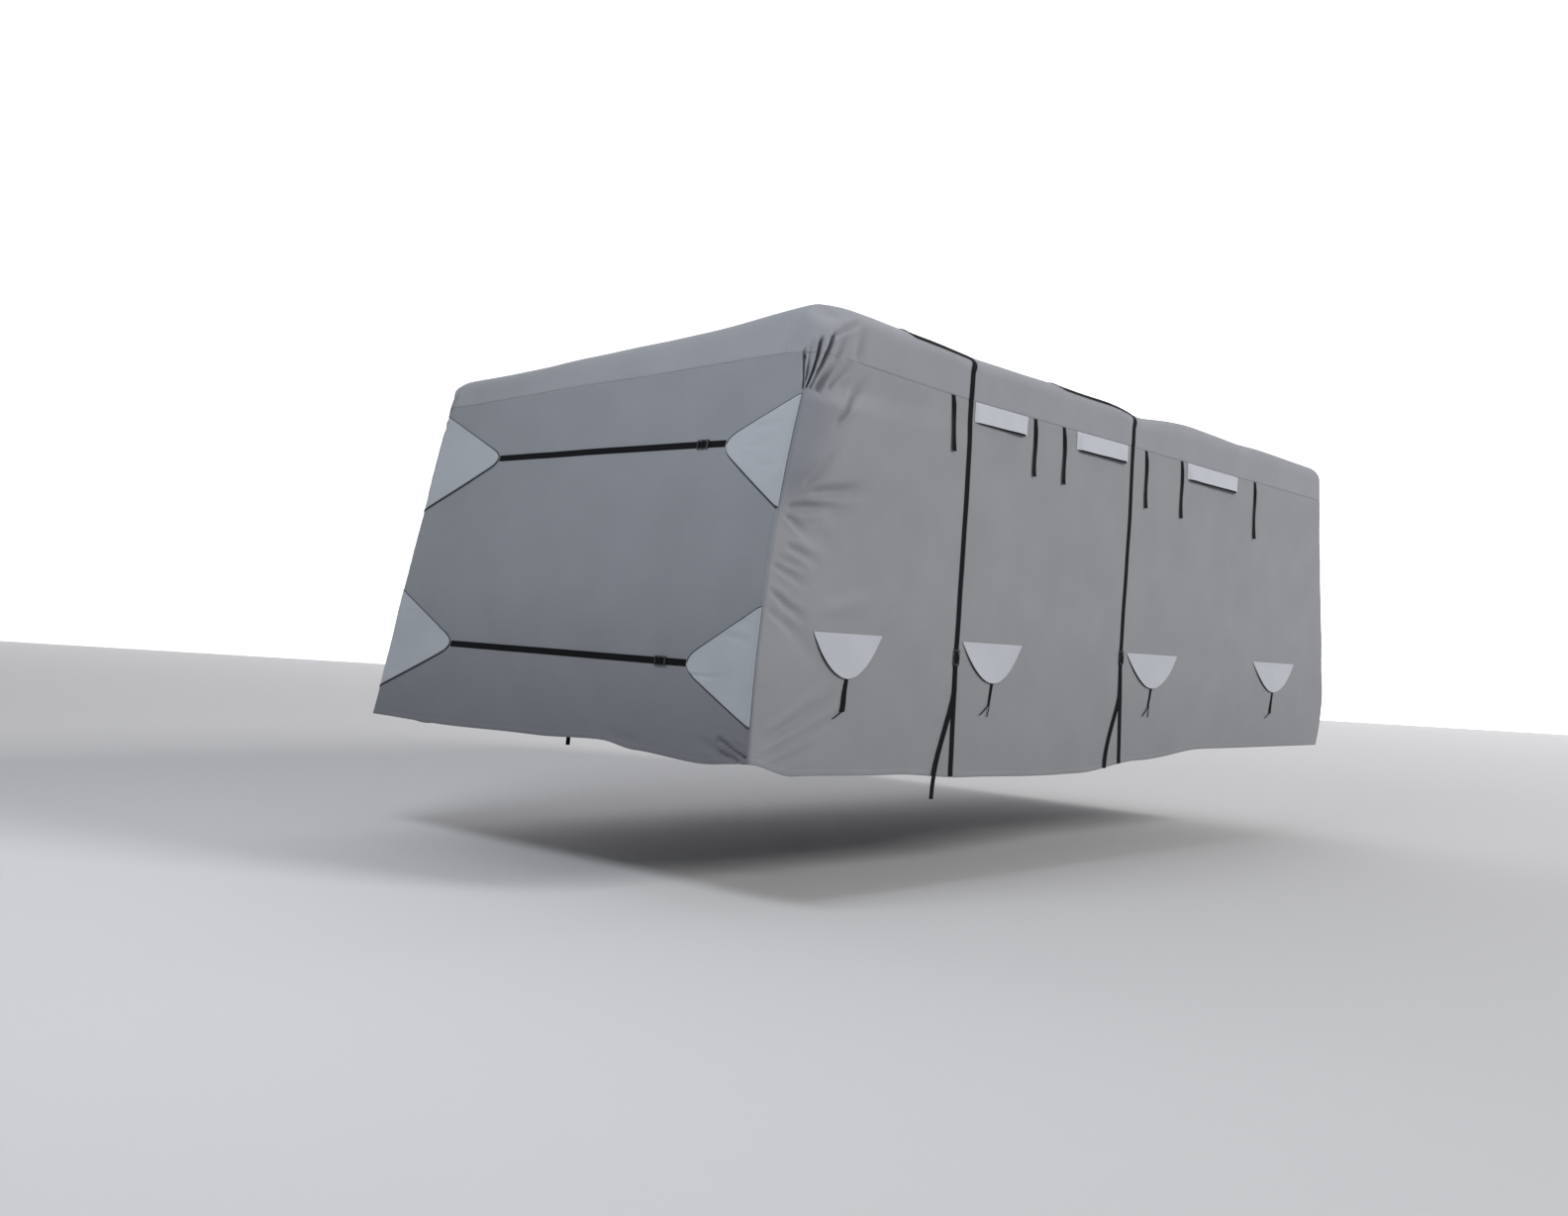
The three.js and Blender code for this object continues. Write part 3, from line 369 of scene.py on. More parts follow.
PULL = dict(
    top=0.566, foot=0.367, off=0.0022, lift=0.0085, belly=1.5, uneven=(0.75, 0.25), hidden=0.0015,
    dark_band=0.01, rows=16, columns=65, tie_off=LAID + 0.0008, hang=0.003, tie_rows=26,
)
STRING = dict(wide=0.005, curl=1.2, inside=0.004, off=0.0008, rows=24, ring=13)
# A cord is at least so many times as long as it is wide
CORD_SLIM = 6.1

# Stitches, and where their rows start and end

STITCH = dict(pitch=0.0075, long=0.0054, wide=0.0012, high=0.001, inset=0.007)
STITCH_FACES = [
    (1, 3, 5), (0, 5, 3), (1, 5, 2), (0, 2, 5), (1, 4, 3), (0, 3, 4), (1, 2, 4), (0, 4, 2),
]
SEWN = dict(
    step=0.02, short=0.1, heights=(0.06, SEAM_HEIGHT - 0.1), starts={1: 0.1, -1: -0.2},
    across={-1: (-0.98, 0.88), 1: (-0.98, 0.98)}, least=0.03, pull=0.95, pull_ends=0.94,
    end_spots=130, pull_spots=80,
)
THREADS = {"roof": [], "side": [], "patch": [], "light": [], "pull": []}


# Small helpers

def bell(distance, reach):
    return np.exp(-((distance / reach) ** 2))


def mix(start, end, share):
    return start + (end - start) * share


def smooth(share):
    share = np.clip(share, 0, 1)
    return share * share * (3 - 2 * share)


def ease(table, at):
    """Reads a table of (place, value) rows, with a smooth rise or fall between them."""
    keys, values = np.array(table).T
    at = np.clip(at, keys[0], keys[-1])
    k = np.clip(np.searchsorted(keys, at) - 1, 0, len(keys) - 2)
    return mix(values[k], values[k + 1], smooth((at - keys[k]) / (keys[k + 1] - keys[k])))


def swell(table, x, y):
    return sum(s["rise"] * bell(np.hypot(x - s["x"], y - s["y"]), s["reach"]) for s in table)


LIFT = EAVE_HEIGHT + float(swell(ROOF_SWELLS, 0, 0)) + ROOF_CROWN - CLOTH


def lowered(points):
    return np.asarray(points, float) - (0, 0, LIFT)


def stack(*parts):
    return np.stack(np.broadcast_arrays(*parts), -1)


def unit(vectors):
    return vectors / np.maximum(np.linalg.norm(vectors, axis=-1, keepdims=True), 1e-12)


def run_of(line):
    """How far a line of points has gone at each of them."""
    steps = np.linalg.norm(np.diff(line, axis=0), axis=-1)
    return np.concatenate([0 * steps[:1], np.cumsum(steps, axis=0)])


def read_line(at, gone, line):
    """The values of a line at distances along it, where gone is how far it has gone."""
    return np.stack([np.interp(at, gone, values) for values in line.T], 1)


def beside(line):
    """The unit ways to the left of a flat line, at each of its points."""
    along = unit(np.gradient(line, axis=0))
    return np.stack([-along[:, 1], along[:, 0]], 1)


# The shape of the hung cover

def eave_height(x, y):
    return EAVE_HEIGHT + swell(ROOF_SWELLS, x, y)


def seam_height(x, y):
    return SEAM_HEIGHT + swell(SEAM_SWELLS, x, y)


def nose_y(x, z):
    share = (x / HALF + 1) / 2
    pull = NOSE_PULL * (1 - share)
    t = z / EAVE_HEIGHT
    bow = NOSE_BOW_RIGHT * share * t * (t - 1)
    return NOSE_FOOT - pull + (NOSE_LEAN + pull) * t + bow


def tail_y(x, z):
    above = LENGTH / 2 - TAIL_SLOPE * (z - TAIL_FOOT)
    below = LENGTH / 2 - TAIL_TUCK * ((TAIL_FOOT - z) / TAIL_FOOT) ** 2
    return np.where(z > TAIL_FOOT, above, below) + 0 * x


def end_y(end, x, z):
    return nose_y(x, z) if end < 0 else tail_y(x, z)


MIDDLE_NOSE = NOSE_FOOT + NOSE_LEAN + EAVE_RADIUS
MIDDLE_TAIL = float(tail_y(0, EAVE_HEIGHT)) - EAVE_RADIUS


def crown(across, y):
    """The rise of the roof's middle, which fades towards its ends."""
    from_end = np.clip(np.minimum(y - MIDDLE_NOSE, MIDDLE_TAIL - y), 0, None)
    return ROOF_CROWN * (1 - bell(from_end, CROWN_START)) * (1 - across**2)


def broad_folds(y, z):
    depth = 0 * (y + z)
    for fold in BROAD_FOLDS:
        long = math.hypot(fold["dy"], fold["dz"])
        dy, dz = fold["dy"] / long, fold["dz"] / long
        from_y, from_z = y - fold["root"][0], z - fold["root"][1]
        share = (from_y * dy + from_z * dz) / long
        across = from_y * dz - from_z * dy
        width = fold["width"] * mix(BROAD_ROOT_WIDTH, 1, share)
        inside = (share > 0) & (share < 1)
        wave = np.sin(math.pi * np.clip(share, 0, 1) ** BROAD_LEAD)
        depth = depth + np.where(inside, fold["depth"] * wave * bell(across, width / 2), 0)
    return BROAD_LIMIT * np.tanh(depth / BROAD_LIMIT)


def creases(table, a, b):
    """How far the creases of a table take the cloth in, at places (a, b) on it."""
    depth = 0 * (a + b)
    for row in table:
        rise, fall = row["ends"]
        (a0, b0), (a1, b1) = row["start"], row["end"]
        long = math.hypot(a1 - a0, b1 - b0)
        along = ((a - a0) * (a1 - a0) + (b - b0) * (b1 - b0)) / long**2
        across = ((a - a0) * (b1 - b0) - (b - b0) * (a1 - a0)) / long
        across = across - row["bow"] * 4 * along * (1 - along)
        strength = smooth(along / rise) * smooth((1 - along) / fall)
        reach = np.abs(across) / mix(*row["width"], np.clip(along, 0, 1))
        ridge = CREASE_RIDGE["share"] * bell(reach - CREASE_RIDGE["away"], 1)
        depth = depth + row["depth"] * strength * (bell(reach, 1) - ridge)
    return depth


def ripple(points):
    """A slow unevenness that depends only on the place, so that it runs on over every seam."""
    total = np.zeros(points.shape[:-1])
    for row in RIPPLES:
        rng = np.random.default_rng(row["seed"])
        for _ in range(WAVES):
            direction = unit(rng.normal(size=3))
            pace = 2 * math.pi / (row["wave"] * rng.uniform(*RIPPLE_SPREAD))
            phase = rng.uniform(0, 2 * math.pi)
            wave = np.sin(points @ (direction * pace) + phase)
            total += row["height"] * wave / math.sqrt(WAVES / 2)
    return total


def fold_depth(points, out, turned=1.0):
    """How far all folds take the cloth in. Out is the level way that the wall faces, and turned is
    how far the cloth has turned down from the roof."""
    x, y, z = (points[..., k] for k in range(3))
    front = y < 0
    strength = np.where(x > 0, 1.0, LEFT_SHARE)
    side = broad_folds(y, z) + strength * creases(SIDE_CREASES, y, z)
    end = np.where(front, creases(NOSE_CREASES, x, z), creases(TAIL_CREASES, x, z))
    way = corner_way(x, y, z)
    corner = strength * creases(CORNER_CREASES, way, z) - corner_roll(way, z)
    level = out[..., 0] ** 2 * np.where(front, side, 0) + out[..., 1] ** 2 * end
    return turned * (level + np.where(front, corner, 0)) + ripple(points)


def corner_way(x, y, z):
    """How far a place is from a nose corner: along the side above 0, and along the nose below."""
    across = np.minimum(np.abs(x), HALF - corner_radius(-1, x, z))
    return y - nose_y(np.sign(x) * across, z) - (HALF - np.abs(x))


def corner_roll(way, z):
    """How far the cloth behind a nose corner rolls outwards."""
    (low, clear), (full, top) = CORNER_ROLL["low_edge"], CORNER_ROLL["top_edge"]
    between = smooth((z - low) / (clear - low)) * smooth((top - z) / (top - full))
    behind = np.clip(way, 0, None)
    rise = (1 - np.exp(-behind / CORNER_ROLL["reach"])) * np.exp(-behind / CORNER_ROLL["fade"])
    return CORNER_ROLL["high"] * between * rise


def corner_cut(points, normals):
    """The depth of the flat cut at the right nose corner of the roof."""
    way = np.array(CORNER_CUT["way"])
    beyond = (points - CORNER_CUT["place"]) @ way
    deep = CORNER_CUT["soft"] * np.logaddexp(0, beyond / CORNER_CUT["soft"])
    return deep * np.clip(normals @ way, 0, 1)


def seam_valley(distance):
    return SEAM_VALLEY["depth"] * bell(distance, SEAM_VALLEY["width"])


def seam_shown(points, out):
    """The share of the roof's seam that shows: the side's is lost in the folds at the nose."""
    behind = smooth((points[..., 1] - SEAM_SHOWN) / SEAM_SHOWN_OVER)
    return np.where(out[..., 0] > FACING_RIGHT, behind, 1)


def seam_pucker(points, *distances):
    """Small uneven gathers of the cloth beside its seams."""
    pull = 0
    mean, swing = PUCKER_STRENGTH
    for row in SEAM_PUCKERS:
        rng = np.random.default_rng(row["seed"])
        pace = 2 * math.pi / row["wave"]
        for distance in distances:
            way = unit(rng.normal(size=3))
            wobble = np.sin(points @ (way * pace) + rng.uniform(0, 6))
            strong = np.sin(points @ (unit(rng.normal(size=3)) * pace / PUCKER_GROUP))
            high = row["height"] * wobble * (mean + swing * strong)
            pull = pull + high * bell(distance, row["reach"])
    return pull


def folded(points, normals, out, from_seam, *from_corners, off=0.0, turned=1.0):
    """The points of a cloth with its folds, seams and gathers, and then moved off the cloth."""
    depth = fold_depth(points, out, turned) + seam_shown(points, out) * seam_valley(from_seam)
    depth += sum(seam_valley(gone) for gone in from_corners) + corner_cut(points, normals)
    depth += seam_pucker(points, from_seam, *from_corners)
    return points + normals * (off - depth)[..., None]


# Walls: a place function gives the points of a wall at heights z and the level way that it faces.
# Its angle is how far the eave above it has turned down.

def under_roof(end, x, z):
    """From 0 to 1 up the right corner of the nose, where it meets the roof."""
    share = smooth((z - CORNER_TOP["low"]) / (CORNER_TOP["high"] - CORNER_TOP["low"]))
    return np.where((end < 0) & (x > 0), share, 0)


def corner_radius(end, x, z):
    return mix(CORNER_RADIUS, CORNER_TOP["radius"], under_roof(end, x, z))


def seam_turn(end, x, z):
    """How far from the side the corner seam lies round its corner."""
    return mix(SEAM_TURNS["low"], SEAM_TURNS["high"], under_roof(end, x, z))


def side_place(side, share, turn, z, angle=DOWN):
    """A side, by its share from nose to tail and the turn round its corners."""
    inset = EAVE_RADIUS * (1 - np.sin(angle))
    nose, tail = (corner_radius(end, side, z) * np.sin(angle) for end in (-1, 1))
    start = end_y(-1, side * (HALF - nose), z) + nose + inset
    finish = end_y(1, side * (HALF - tail), z) - tail - inset
    radius = np.where(turn < 0, nose, tail)
    x = side * (HALF - inset - radius * (1 - np.cos(turn)))
    y = mix(start, finish, share) + radius * np.sin(turn)
    return stack(x, y, z), stack(side * np.cos(turn) + 0 * z, np.sin(turn) + 0 * z)


def end_place(end, across, turn, z, angle=DOWN):
    """The nose or tail, by its share across and its turn round the corners."""
    inset = EAVE_RADIUS * (1 - np.sin(angle))
    radius = corner_radius(end, across, z) * np.sin(angle)
    x = across * (HALF - radius - inset) + radius * np.sin(turn)
    back = inset + radius * (1 - np.cos(turn))
    y = end_y(end, across * (HALF - radius), z) - end * back
    return stack(x, y, z), stack(np.sin(turn) + 0 * z, end * np.cos(turn) + 0 * z)


def side_wall(side):
    """The place function of a side's panel, whose columns run from seam to seam."""
    none = 0 * CORNER_STEPS
    nose = np.concatenate([CORNER_STEPS, 0 * SIDE_COLUMNS, none])
    tail = np.concatenate([none, 0 * SIDE_COLUMNS, CORNER_STEPS[::-1]])
    share = np.concatenate([none, SIDE_COLUMNS, none + 1])

    def place(z, angle=DOWN):
        turn = tail * seam_turn(1, side, z) - nose * seam_turn(-1, side, z)
        return side_place(side, share, turn, z, angle)

    return place


def end_wall(end, steps):
    """The place function of the nose or tail panel."""
    middle = columns_over(steps)
    none = 0 * CORNER_STEPS
    across = np.concatenate([none - 1, middle, none + 1])
    share = np.concatenate([-CORNER_STEPS, 0 * middle, CORNER_STEPS[::-1]])

    def place(z, angle=DOWN):
        return end_place(end, across, share * (DOWN - seam_turn(end, across, z)), z, angle)

    return place


def surface(place, z, angle=DOWN):
    """The points, normals and level ways of a place function that has turned down by an angle."""
    points, out = place(z, angle)
    above, _ = place(z + SLOPE_STEP, angle)
    out = np.broadcast_to(out, points.shape[:-1] + (2,))
    lean = -((above - points)[..., :2] * out).sum(-1) / SLOPE_STEP
    turn = np.sin(angle)
    level = out * stack(turn, turn)
    return points, unit(stack(level[..., 0], level[..., 1], np.cos(angle) + lean * turn)), out


def columns(start, end, steps):
    """Places from start to end. Steps lists reaches from the start, each with the step used up to
    it."""
    places = [start]
    for reach, step in steps:
        stop = min(start + reach, end)
        count = max(1, round((stop - places[-1]) / step))
        places += np.linspace(places[-1], stop, count + 1)[1:].tolist()
    return np.array(places)


def columns_over(steps):
    """Shares across the nose or tail from -1 to 1, with the steps counting from both sides."""
    half = 1 - columns(0, FLAT_END, steps) / FLAT_END
    return np.concatenate([-half[:-1], half[::-1]])


SIDE_COLUMNS = columns(0, SIDE_LONG, SIDE_STEPS) / SIDE_LONG
ROOF_COLUMNS = columns_over(ROOF_STEPS)


def wall_rows(top, foot, step):
    """Heights of a wall's rows from its seam to inside its hem, and their ways off the cloth."""
    upper = top - ROWS_BELOW_SEAM[:, None]
    lower = foot + HEM_ROWS[:, :1]
    count = int(round(float((upper[-1] - lower[0]).mean()) / step))
    between = mix(upper[-1], lower[0], np.linspace(0, 1, count + 1)[1:-1, None])
    z = np.concatenate([upper, between, lower])
    off = np.zeros_like(z)
    off[-len(HEM_ROWS):] = HEM_ROWS[:, 1:]
    return z, off


def wall_grid(place, axis, hem, step):
    """One wall panel, from seam to seam and from the roof's seam to inside its hem. The hem's
    table counts along the axis."""
    at_seam = place(np.full((1, 1), SEAM_HEIGHT))[0]
    at_foot = place(np.zeros((1, 1)))[0]
    top = seam_height(at_seam[..., 0], at_seam[..., 1])
    z, off = wall_rows(top, -ease(hem, at_foot[..., axis]), step)
    points, normals, out = surface(place, z)
    gone = run_of(points.swapaxes(0, 1)).T
    from_corner = np.minimum(gone, gone[:, -1:] - gone)
    middle = gone.shape[1] // 2
    flat = stack(gone - gone[:, middle:middle + 1], z)
    return folded(points, normals, out, top - z, from_corner, off=off), normals, flat


# The roof cloth, with its eaves and the bands that hang to the seams

def edge_height(across, along):
    return eave_height(across * MIDDLE_HALF, mix(MIDDLE_NOSE, MIDDLE_TAIL, along))


def roof_flat(across, along):
    edge = edge_height(across, along)
    start = end_y(-1, across * HALF, edge) + EAVE_RADIUS
    finish = end_y(1, across * HALF, edge) - EAVE_RADIUS
    x, y = across * MIDDLE_HALF, mix(start, finish, along)
    points = stack(x, y, edge + crown(across, y))
    up = stack(0 * x, 0 * y, 1 + 0 * y)
    points[..., 2] -= ripple(points) + corner_cut(points, up)
    return points, up, stack(x, y)


def wing_flat(points, run, side, end):
    """Flat places of a run out from the roof's middle, to a side, an end or both."""
    x, y = points[..., 0], points[..., 1]
    if not end:
        return stack(side * (MIDDLE_HALF + run), y)
    if not side:
        return stack(x, end * (LENGTH / 2 + run))
    return stack(x + side * run, y + end * run)


def roof_wing(edge, place, side, end):
    """An eave and the band below it, to a side, an end or the corner between them."""
    at_seam = place(np.full(edge.shape, SEAM_HEIGHT))[0]
    deep = edge - seam_height(at_seam[..., 0], at_seam[..., 1])
    count = int(round(float(deep.mean() - EAVE_RADIUS) / BAND_STEP))
    band = mix(EAVE_RADIUS, deep, np.linspace(0, 1, count + 1)[1:, None])
    band = np.concatenate([band[:-1], deep - ROWS_BELOW_SEAM[2:0:-1, None], deep])
    angle = np.concatenate([EAVE_ANGLES, np.full(len(band), DOWN)])[:, None]
    turned_part = EAVE_RADIUS * (1 - np.cos(EAVE_ANGLES))[:, None] + 0 * edge
    depth = np.concatenate([turned_part, band])
    points, normals, out = surface(place, edge - depth, angle)
    run = np.where(angle < DOWN, EAVE_RADIUS * angle, EAVE_ARC + depth - EAVE_RADIUS)
    made = folded(points, normals, out, deep - depth, turned=np.sin(angle) ** 2)
    return made, normals, wing_flat(points, run, side, end)


def roof_grids():
    grids = [roof_flat(ROOF_COLUMNS[:, None], SIDE_COLUMNS[None])]
    for side in (-1, 1):
        place = partial(side_place, side, SIDE_COLUMNS, 0.0)
        grids.append(roof_wing(edge_height(side, SIDE_COLUMNS[None]), place, side, 0))
    for end in (-1, 1):
        place = partial(end_place, end, ROOF_COLUMNS, 0.0)
        grids.append(roof_wing(edge_height(ROOF_COLUMNS[None], (end + 1) / 2), place, 0, end))
    for side in (-1, 1):
        for end in (-1, 1):
            turns = end * np.linspace(0, DOWN, CORNER_FAN[end])
            place = partial(side_place, side, (end + 1) / 2, turns)
            edge = edge_height(side, (end + 1) / 2) + 0 * turns[None]
            grids.append(roof_wing(edge, place, side, end))
    return grids


# Meshes

def linked(name, data):
    """A new object of the scene."""
    made = bpy.data.objects.new(name, data)
    bpy.context.scene.collection.objects.link(made)
    return made


def mesh_object(name, points, faces):
    """A new smooth mesh with room for its flat places, as an object."""
    mesh = bpy.data.meshes.new(name)
    mesh.from_pydata(points, [], faces)
    mesh.uv_layers.new(name="Cloth")
    mesh.polygons.foreach_set("use_smooth", np.ones(len(mesh.polygons), bool))
    mesh.update()
    return linked(name, mesh)


def grid_faces(points, normals):
    rows, wide = points.shape[:2]
    base = np.arange(rows * wide).reshape(rows, wide)
    quads = stack(base[:-1, :-1], base[:-1, 1:], base[1:, 1:], base[1:, :-1]).reshape(-1, 4)
    facing = (grid_areas(points) * normals[:-1, :-1]).sum()
    return quads if facing > 0 else quads[:, ::-1]


def grid_areas(points):
    """The area of each cell of a grid, as a vector across it."""
    down = points[1:, :-1] - points[:-1, :-1]
    over = points[:-1, 1:] - points[:-1, :-1]
    return np.cross(over, down)


def area_of(points):
    return float(np.linalg.norm(grid_areas(points), axis=-1).sum())


def clean_faces(faces, index):
    """The faces, less the corners that merging has made one and the faces that it has closed."""
    ids = index[faces]
    doubled = ids == np.roll(ids, 1, axis=1)
    kept = faces[~doubled.any(axis=1)].tolist()
    for face, twin in zip(faces[doubled.any(axis=1)], doubled[doubled.any(axis=1)]):
        if (~twin).sum() == 3:
            kept.append(face[~twin].tolist())
    return kept


def cloth_object(name, grids, thickness):
    """A mesh of grids, each with points, normals and flat places, made solid inwards."""
    points = np.concatenate([lowered(g[0]).reshape(-1, 3) for g in grids])
    flats = [np.broadcast_to(g[2], g[0].shape[:2] + (2,)).reshape(-1, 2) for g in grids]
    starts = np.cumsum([0] + [len(flat) for flat in flats])
    faces = np.concatenate([grid_faces(g[0], g[1]) + s for g, s in zip(grids, starts)])
    keys = np.round(points / MERGE).astype(np.int64)
    _, first, index = np.unique(keys, axis=0, return_index=True, return_inverse=True)
    index = index.reshape(-1)
    kept = clean_faces(faces, index)
    made = mesh_object(name, points[first].tolist(), [index[face].tolist() for face in kept])
    places = np.concatenate(flats)[np.concatenate(kept)].astype(np.float32)
    made.data.uv_layers["Cloth"].data.foreach_set("uv", places.ravel())
    solid = made.modifiers.new("Thickness", "SOLIDIFY")
    solid.thickness = thickness
    solid.offset = -1
    return made


def dress(made, finish, *nodes):
    """Gives a piece its material, and has it stand for its solids."""
    made.data.materials.append(FINISHES[finish])
    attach(made, "root")
    if nodes:
        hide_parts(*nodes)
    return made


def dark_band(name, points, normals, flat, finish="webbing", thickness=BAND_THICK):
    """A thin dark band at the edge of another piece, of which it is a part. The bands of the nose
    patches and pull patches are painted shadow, and those in the hoods partly so.
    """
    normals = np.broadcast_to(normals, points.shape)
    return dress(cloth_object(name, [(points, normals, flat)], thickness), finish)


def strip(name, points, normals, flat, finish, *nodes, thickness=WEBBING):
    """A thin piece on the cloth, shaded flat up to its edges."""
    made = cloth_object(name, [(points, normals, flat)], thickness)
    made.modifiers.new("Shading", "WEIGHTED_NORMAL")
    return dress(made, finish, *nodes)


# Materials

MOTTLE = 0.06
# Painted shade near the ground: the tone darkens from this height on the cloth down to its hem
HEM_SHADE_TOP = 0.75
RIB_PITCH = 2.4
GRAIN = (0.4, 0.95)
FINE_SHARE = 0.35
ROUGH_SPREAD = 0.05
BUMP_STRENGTH = 0.5
SHEEN_ROUGHNESS = 0.5
NOISE = dict(broad=(3.5, 4.0), fine=(160.0, 3.0))

# Painted shade behind the nose corners: heights and places along the cover of the frame, and
# the corner's own lean
CORNER_SHADE = dict(
    lean=0.227, corner=-2.83, reach=0.34, foot=(-1.05, -0.8), top=(-0.46, -0.27),
    tint=(0.77, 0.79, 0.83),
)


def node(tree, kind, inputs=(), **settings):
    made = tree.nodes.new("ShaderNode" + kind)
    for key, value in settings.items():
        setattr(made, key, value)
    for key, value in dict(inputs).items():
        if isinstance(value, bpy.types.NodeSocket):
            tree.links.new(value, made.inputs[key])
        else:
            made.inputs[key].default_value = value
    return made


def maths(tree, operation, *values, kind="Math"):
    return node(tree, kind, dict(enumerate(values)), operation=operation).outputs[0]


def sine(tree, coordinate, pitch):
    """A smooth up and down along one flat direction."""
    return maths(tree, "SINE", maths(tree, "MULTIPLY", coordinate, 2 * math.pi / pitch))


def ranged(tree, value, low, high, start, finish, shape="LINEAR"):
    """A value's way from start to finish between two limits."""
    inputs = dict(enumerate((value, low, high, start, finish)))
    return node(tree, "MapRange", inputs, interpolation_type=shape).outputs[0]


def noise(tree, place, name):
    scale, detail = NOISE[name]
    return node(tree, "TexNoise", {"Vector": place, "Scale": scale, "Detail": detail}).outputs[0]


def painted_corner_shade(tree, tint, corner_shade):
    """The tint with painted shade: darker and bluer in the hollow behind the nose corners."""
    place = node(tree, "TexCoord").outputs["Object"]
    _, y, z = node(tree, "SeparateXYZ", {0: place}).outputs
    corner = maths(tree, "MULTIPLY_ADD", z, -CORNER_SHADE["lean"], y)
    soft = dict(shape="SMOOTHSTEP")
    near = ranged(tree, corner, CORNER_SHADE["corner"], CORNER_SHADE["corner"] + CORNER_SHADE["reach"], corner_shade, 0, **soft)
    above = ranged(tree, z, *CORNER_SHADE["foot"], 0, 1, **soft)
    below = ranged(tree, z, *CORNER_SHADE["top"], 1, 0, **soft)
    share = maths(tree, "MULTIPLY", maths(tree, "MULTIPLY", near, above), below)
    dark = maths(tree, "MULTIPLY", tint, CORNER_SHADE["tint"], kind="VectorMath")
    return node(tree, "Mix", {0: share, 6: tint, 7: dark}, data_type="RGBA").outputs[2]


def finish_material(name, colour, roughness=0.85, sheen=0.15, pitch=0.0016, tall=0.0002,
                    stripe=0.0, hem_shade=0.0, specular=0.25, corner_shade=0.0):
    """A woven material: pitch is the weave's spacing and tall its height, both in metres. The hem
    shade and corner shade are shares of painted shade: how much the cloth darkens towards the hem,
    and how much darker and bluer it is behind the nose corners."""
    made = bpy.data.materials.new(name)
    made.use_nodes = True
    tree = made.node_tree
    shader = tree.nodes["Principled BSDF"].inputs
    place = node(tree, "UVMap", uv_map="Cloth").outputs[0]
    across, up, _ = node(tree, "SeparateXYZ", {0: place}).outputs
    weave = maths(tree, "MULTIPLY", sine(tree, across, pitch), sine(tree, up, pitch))
    ribs = sine(tree, up, pitch * RIB_PITCH)
    both = node(tree, "Mix", {0: stripe, 2: weave, 3: ribs}, data_type="FLOAT").outputs[0]
    fine = noise(tree, place, "fine")
    grain = maths(tree, "MULTIPLY_ADD", fine, FINE_SHARE, noise(tree, place, "broad"))
    tone = ranged(tree, grain, *GRAIN, 1 - MOTTLE, 1 + MOTTLE)
    # Painted shade near the ground: the tone darkens towards the hem
    tone = maths(tree, "MULTIPLY", tone, ranged(tree, up, 0, HEM_SHADE_TOP, 1 - hem_shade, 1))
    tint = node(tree, "VectorMath", {0: colour, "Scale": tone}, operation="SCALE").outputs[0]
    # Painted shade: the cloth is darker and bluer behind the nose corners
    if corner_shade:
        tint = painted_corner_shade(tree, tint, corner_shade)
    rough = ranged(tree, grain, *GRAIN, roughness - ROUGH_SPREAD, roughness + ROUGH_SPREAD)
    height = maths(tree, "ADD", both, fine)
    relief = {"Height": height, "Distance": tall, "Strength": BUMP_STRENGTH}
    bump = node(tree, "Bump", relief).outputs[0]
    for key, value in (("Base Color", tint), ("Roughness", rough), ("Normal", bump)):
        tree.links.new(value, shader[key])
    shader["Sheen Weight"].default_value = sheen
    shader["Sheen Roughness"].default_value = SHEEN_ROUGHNESS
    shader["Specular IOR Level"].default_value = specular
    return made


FINISHES = {
    "roof": finish_material("Roof cloth", (0.292, 0.302, 0.327)),
    "side": finish_material(
        "Side cloth", (0.285, 0.292, 0.312), sheen=0.06, hem_shade=0.12, corner_shade=1.0,
    ),
    # The nose cloth is darker than the side cloth: painted shade of the nose's dimmer light, with a
    # bluer tone of its own
    "nose": finish_material("Nose cloth", (0.246, 0.258, 0.282), hem_shade=0.3),
    "patch": finish_material("Patch cloth", (0.4, 0.425, 0.46)),
    "light": finish_material("Light cloth", (0.525, 0.55, 0.597)),
    "pull": finish_material("Pull cloth", (0.485, 0.51, 0.55)),
    "webbing": finish_material(
        "Webbing", (0.006, 0.0065, 0.0075), 0.8, 0.0, 0.0014, 0.0004, 0.6, specular=0.1,
    ),
    # Painted shadow: the dark finish of the bands along the nose patches' edges
    "painted_shadow": finish_material("Painted edge shadow", (0.05, 0.054, 0.062), 0.8, 0.05, 0.0014),
    "buckle": finish_material("Buckle plastic", (0.03, 0.032, 0.036), 0.4, 0.0, 0.003, 0.00003),
}


# The camera, and the stage round the cover

CAMERA = dict(
    place=(5.0593, -7.5067, 0.5148), azimuth=46.0962, elevation=-0.9969, roll=3.3919,
    lens=31.998, shift=0.1,
)
SENSOR = 36
FAR = 200
FLOOR_DROP = 0.62
STAGE_ROUGHNESS = 0.9
FLOOR = dict(reach=70, colour=(0.6, 0.6, 0.61))
BACKDROP = dict(start=(-48, -12), end=(12, 48), high=40, colour=(0.93, 0.93, 0.94), glow=0.9)
WORLD = dict(colour=(0.93, 0.95, 1.0, 1), light=0.27)
LIGHTS = [
    dict(
        name="Key", place=(38.0, 20.0, 24.0), target=(0.0, 0.0, 1.0), size=(12, 12), power=14500,
        colour=(1.0, 0.985, 0.96),
    ),
    dict(
        name="Fill", place=(1.1, -6.8, 5.3), target=(0.5, -2.9, 1.9), size=(2.4, 1.6), power=195,
        colour=(0.92, 0.96, 1.0),
    ),
]


